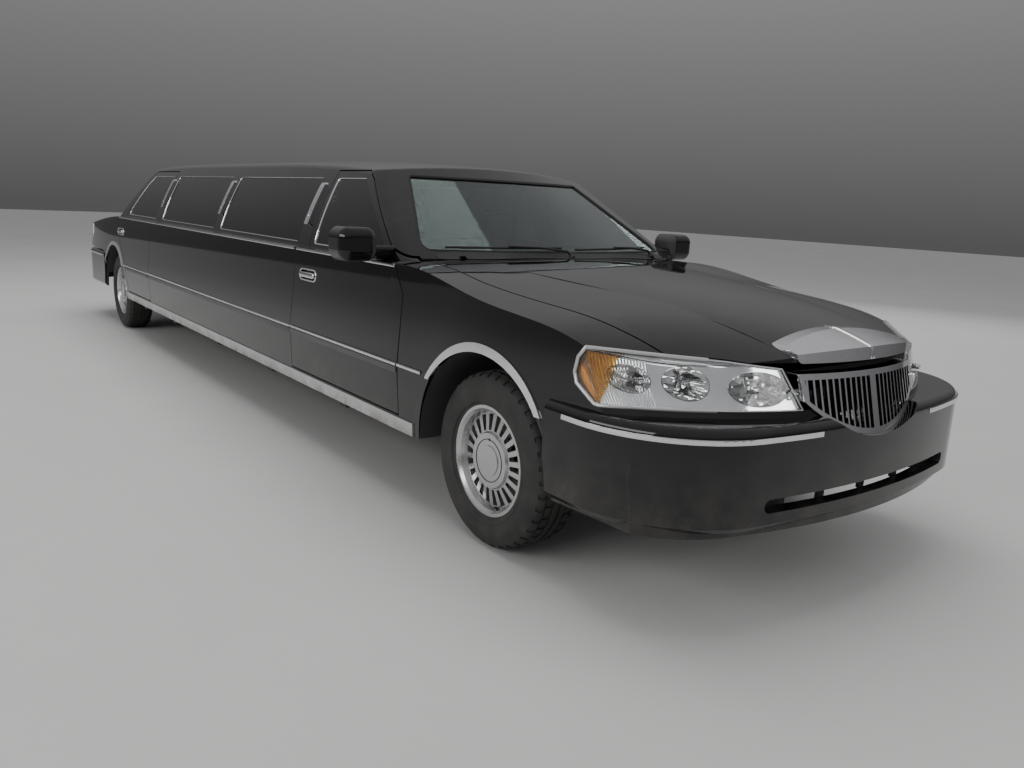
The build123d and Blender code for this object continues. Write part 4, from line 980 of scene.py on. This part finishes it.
class LIMOUSINE_OT_doors(bpy.types.Operator):
    """Door handles and mirror glasses"""

    bl_idname = "limousine.doors"
    bl_label = "Doors"

    def execute(self, context):
        lean, height = math.atan(0.075), 0.917
        handles = (("front", FRONT_AXLE - 1.595), ("rear", REAR_AXLE + 0.260))
        for side, sign in SIDES:
            for place, x in handles:
                door = f"{place}_door_{side}"
                paddle = oval_piece("paddle", (x, sign * 0.9435, height), 0.178, 0.029, 0.021,
                                    0.006, sign * lean)
                finished(paddle, f"{door}_handle", door, "chrome")
                ring = oval_piece("ring", (x, sign * 0.9390, height), 0.200, 0.056, 0.002,
                                  turn=sign * lean)
                ring = edge_tube(ring, looks_out(sign, 0.8), 0.0045)
                finished(ring, f"{door}_bezel", door, "chrome", angle=50)
            low = (FRONT_AXLE - 0.9585, sign * 1.030 - 0.074, 1.122 - 0.060)
            glass = box_piece("glass", low, (low[0] + 0.004, low[1] + 0.148, low[2] + 0.120))
            pick(glass, lambda edge: abs(
                glass.data.vertices[edge.vertices[0]].co.x
                - glass.data.vertices[edge.vertices[1]].co.x) > 0.001, "EDGE")
            bpy.ops.mesh.bevel(offset=0.040, segments=8)
            leave()
            finished(glass, "mirror_glass_" + side, "front_door_" + side, "mirror")
        return {"FINISHED"}


class LIMOUSINE_OT_cowl(bpy.types.Operator):
    """The cowl's cover and the wipers"""

    bl_idname = "limousine.cowl"
    bl_label = "Cowl and wipers"

    def screen(self, y, z, off):
        """A point over the windscreen, off its surface along its normal."""
        x = FRONT_AXLE - 0.466 - SCREEN_RAKE * (z - BELT_Z) - y * y / 3.8
        return (x + 0.517 * off, y, z + 0.856 * off)

    def execute(self, context):
        skin_band("cowl_cover", "body_shell",
                  between(x=(FRONT_AXLE - 0.70, FRONT_AXLE - 0.50), y=(-0.72, 0.72),
                          z=(1.035, 1.108)),
                  lambda face: face.normal.z > 0.6, 0.0022, "body",
                  "black_plastic", edge=0.0)
        for name, pivot, start, end in (("right", -0.04, -0.66, -0.06),
                                        ("left", 0.60, 0.02, 0.60)):
            steps = [start + (end - start) * i / 12 for i in range(13)]
            blade = rod_piece("blade", [self.screen(y, 1.116 + 0.012 * (y - start), 0.006)
                                        for y in steps], 0.0055)
            middle = (start + end) / 2
            arm = rod_piece("arm", [self.screen(pivot, 1.086, 0.004),
                                    self.screen(pivot - 0.02, 1.098, 0.020),
                                    self.screen((pivot + middle) / 2, 1.112, 0.020),
                                    self.screen(middle, 1.120, 0.014)], 0.0060)
            knob = ball_piece("knob", self.screen(pivot, 1.086, 0.004), (0.016, 0.016, 0.012))
            finished(join([blade, arm, knob]), "wiper_" + name, "body", "black_plastic",
                     angle=50)
        return {"FINISHED"}


class LIMOUSINE_OT_lamps(bpy.types.Operator):
    """Ribs and bulbs on the pillar lamps, and the tail lamps' bezels"""

    bl_idname = "limousine.lamps"
    bl_label = "Side and tail lamps"

    def execute(self, context):
        node = NODES["pillar_lamps"]
        places = sorted({round(vertex.co.x, 2) for vertex in node.data.vertices})
        lamps = [[places[0]]]
        for place in places[1:]:
            if place - lamps[-1][-1] > 0.2:
                lamps.append([])
            lamps[-1].append(place)
        middles = [(lamp[0] + lamp[-1]) / 2 for lamp in lamps]
        for side, sign in SIDES:
            bulbs = []
            for x in middles:
                for z in (1.186, 1.214):
                    y = LAMP_FOOT - LAMP_LEAN * (z - BELT_Z)
                    bulbs.append(disc_piece("bulb", (x, sign * y, z), 0.010, 0.009, 0.003, 20))
            finished(join(bulbs), "side_bulbs_" + side, "body", "bulb")
            for number, x in enumerate(middles):
                for rib, shift in enumerate((-0.013, 0.0, 0.013)):
                    skin_band(f"lamp_rib_{side}_{number}_{rib}", "pillar_lamps",
                              between(x=(x + shift - 0.0028, x + shift + 0.0028),
                                      y=sorted((0.0, sign * 1.2)), z=(1.232, 1.380)),
                              looks_out(sign, 0.6), 0.0025, "body", "chrome",
                              edge=0.001)
            rim_bead("tail_bezel_" + side, "tail_lamps",
                     lambda face: face.center.y * sign > 0 and (
                         face.normal.x < -0.4 or face.normal.y * sign > 0.5),
                     0.0045, "body", "chrome")
        return {"FINISHED"}


class LIMOUSINE_OT_wheels(bpy.types.Operator):
    """Brake discs, the rings on the wheels' caps and the valves"""

    bl_idname = "limousine.wheels"
    bl_label = "Wheels"

    def execute(self, context):
        for place, axle in AXLES.items():
            for side, sign in SIDES:
                wheel = f"wheel_{place}_{side}"
                disc = disc_piece("disc", (axle, sign * (HALF_TRACK - 0.012), WHEEL_Z), 0.158,
                                  0.024, 0.002, 64)
                pick(disc, lambda face: abs(face.normal.y) > 0.9)
                bpy.ops.mesh.inset(thickness=0.060)
                bpy.ops.mesh.inset(thickness=0.002, depth=-0.004)
                leave()
                finished(disc, f"brake_{place}_{side}", wheel, "steel")
                face = sign * (HALF_TRACK + 0.0842)
                bpy.ops.mesh.primitive_torus_add(
                    major_radius=CAP_RADIUS, minor_radius=0.0018, major_segments=64,
                    minor_segments=8, rotation=(math.pi / 2, 0, 0),
                    location=(axle, face, WHEEL_Z))
                ring = context.active_object
                hole = disc_piece("hole", (axle, face, WHEEL_Z + CAP_RADIUS), 0.0055, 0.0022,
                                  sides=16)
                finished(join([ring, hole]), f"cap_ring_{place}_{side}", wheel, "seal",
                         angle=60)
                valve = rod_piece("valve", [
                    (axle + 0.050, sign * (HALF_TRACK + 0.055), WHEEL_Z - 0.18528),
                    (axle + 0.045, sign * (HALF_TRACK + 0.082), WHEEL_Z - 0.17856)], 0.0042)
                finished(valve, f"valve_{place}_{side}", wheel, "seal", angle=60)
        return {"FINISHED"}


class LIMOUSINE_OT_seats(bpy.types.Operator):
    """Padded seats, rounded from the plain ones"""

    bl_idname = "limousine.seats"
    bl_label = "Seats"

    def execute(self, context):
        look = context.scene.limousine_seats
        for node in ("front_seats", "rear_seats"):
            piece = copy_of(node, node + "_padded")
            modify(piece, "REMESH", mode="VOXEL", voxel_size=look.grain)
            modify(piece, "SMOOTH", factor=0.6, iterations=look.softness)
            finished(piece, node + "_padded", "body", "leather",
                     angle=60, merge=False)
            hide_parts(node)
        return {"FINISHED"}


class LIMOUSINE_OT_tyres(bpy.types.Operator):
    """Tyres with tread and sidewalls, spun from a half section"""

    bl_idname = "limousine.tyres"
    bl_label = "Tyres"

    def execute(self, context):
        look = context.scene.limousine_tyres
        first = self.tyre(look)
        for place, axle in AXLES.items():
            for side, sign in SIDES:
                name = f"tyre_tread_{place}_{side}"
                piece = placed(name, first.data.copy())
                piece.location = (axle, sign * HALF_TRACK, WHEEL_Z)
                finished(piece, name, f"wheel_{place}_{side}", "rubber",
                         recalculate=False)
                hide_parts(f"tyre_{place}_{side}")
        bpy.data.objects.remove(first)
        return {"FINISHED"}

    def tyre(self, look):
        """One tyre round the origin, its axle along Y."""
        radius, groove = TYRE_RADIUS - 0.0003, look.groove
        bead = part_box("rim_front_right")
        inner = (bead[1].z - bead[0].z) / 2 + 0.0006
        half = [(0.0, radius - groove), (0.006, radius - groove), (0.007, radius),
                (0.030, radius - 0.0005), (0.031, radius - groove), (0.039, radius - groove),
                (0.040, radius - 0.001), (0.064, radius - 0.003), (0.065, radius - groove - 0.002),
                (0.070, radius - groove - 0.002), (0.071, radius - 0.004), (0.086, radius - 0.009),
                (0.096, radius - 0.020), (0.104, radius - 0.036), (0.1085, radius - 0.052),
                (0.1095, radius - 0.056), (0.1115, radius - 0.066), (0.1115, radius - 0.080),
                (0.109, radius - 0.096), (0.108, radius - 0.1035), (0.1095, radius - 0.106),
                (0.106, radius - 0.118), (0.099, inner + 0.008), (0.097, inner), (0.060, inner),
                (0.0, inner)]
        outline = half + [(-y, r) for y, r in reversed(half[1:-1])]
        mesh = bpy.data.meshes.new("tyre")
        count = len(outline)
        mesh.from_pydata([(0, y, r) for y, r in outline],
                         [(i, (i + 1) % count) for i in range(count)], [])
        piece = placed("tyre", mesh)
        everything(piece)
        bpy.ops.mesh.spin(steps=2 * look.blocks, angle=2 * math.pi, center=(0, 0, 0),
                          axis=(0, 1, 0))
        bpy.ops.mesh.select_all(action="SELECT")
        bpy.ops.mesh.remove_doubles(threshold=0.00005)
        bpy.ops.mesh.normals_make_consistent(inside=False)
        leave()
        turn = math.pi / look.blocks

        def gap_between_blocks(face):
            distance = math.hypot(face.center.x, face.center.z)
            y = abs(face.center.y)
            step = int((math.atan2(face.center.z, face.center.x) + math.pi) / turn)
            shoulder = 0.071 < y < 0.097 and distance > radius - 0.024
            block = 0.041 < y < 0.063 and distance > radius - 0.006
            return (shoulder and step % 3 == 0) or (block and step % 3 == 1)

        pick(piece, gap_between_blocks)
        bpy.ops.mesh.inset(thickness=0.0006, depth=-groove * 0.8)
        leave()
        return piece


OPERATORS = (LIMOUSINE_OT_finishes, LIMOUSINE_OT_stage, LIMOUSINE_OT_glass,
             LIMOUSINE_OT_mouldings, LIMOUSINE_OT_arches, LIMOUSINE_OT_headlamps,
             LIMOUSINE_OT_nose, LIMOUSINE_OT_doors, LIMOUSINE_OT_cowl, LIMOUSINE_OT_lamps,
             LIMOUSINE_OT_wheels, LIMOUSINE_OT_tyres, LIMOUSINE_OT_seats)
GROUPS = {"limousine_look": LimousineLook, "limousine_tyres": TyreLook,
          "limousine_arches": ArchLook, "limousine_seats": SeatLook}


class LIMOUSINE_PT_panel(bpy.types.Panel):
    """Lists the steps that dress the limousine"""

    bl_idname = "LIMOUSINE_PT_panel"
    bl_label = "Limousine"
    bl_space_type = "VIEW_3D"
    bl_region_type = "UI"
    bl_category = "Limousine"

    def draw(self, context):
        for operator in OPERATORS:
            self.layout.operator(operator.bl_idname)


CLASSES = (*GROUPS.values(), *OPERATORS, LIMOUSINE_PT_panel)


def register():
    for one in CLASSES:
        bpy.utils.register_class(one)
    for name, group in GROUPS.items():
        setattr(bpy.types.Scene, name, bpy.props.PointerProperty(type=group))


def unregister():
    for name in GROUPS:
        delattr(bpy.types.Scene, name)
    for one in reversed(CLASSES):
        bpy.utils.unregister_class(one)


def main():
    register()
    for operator in OPERATORS:
        group, name = operator.bl_idname.split(".")
        getattr(getattr(bpy.ops, group), name)()


if __name__ == "__main__":
    main()
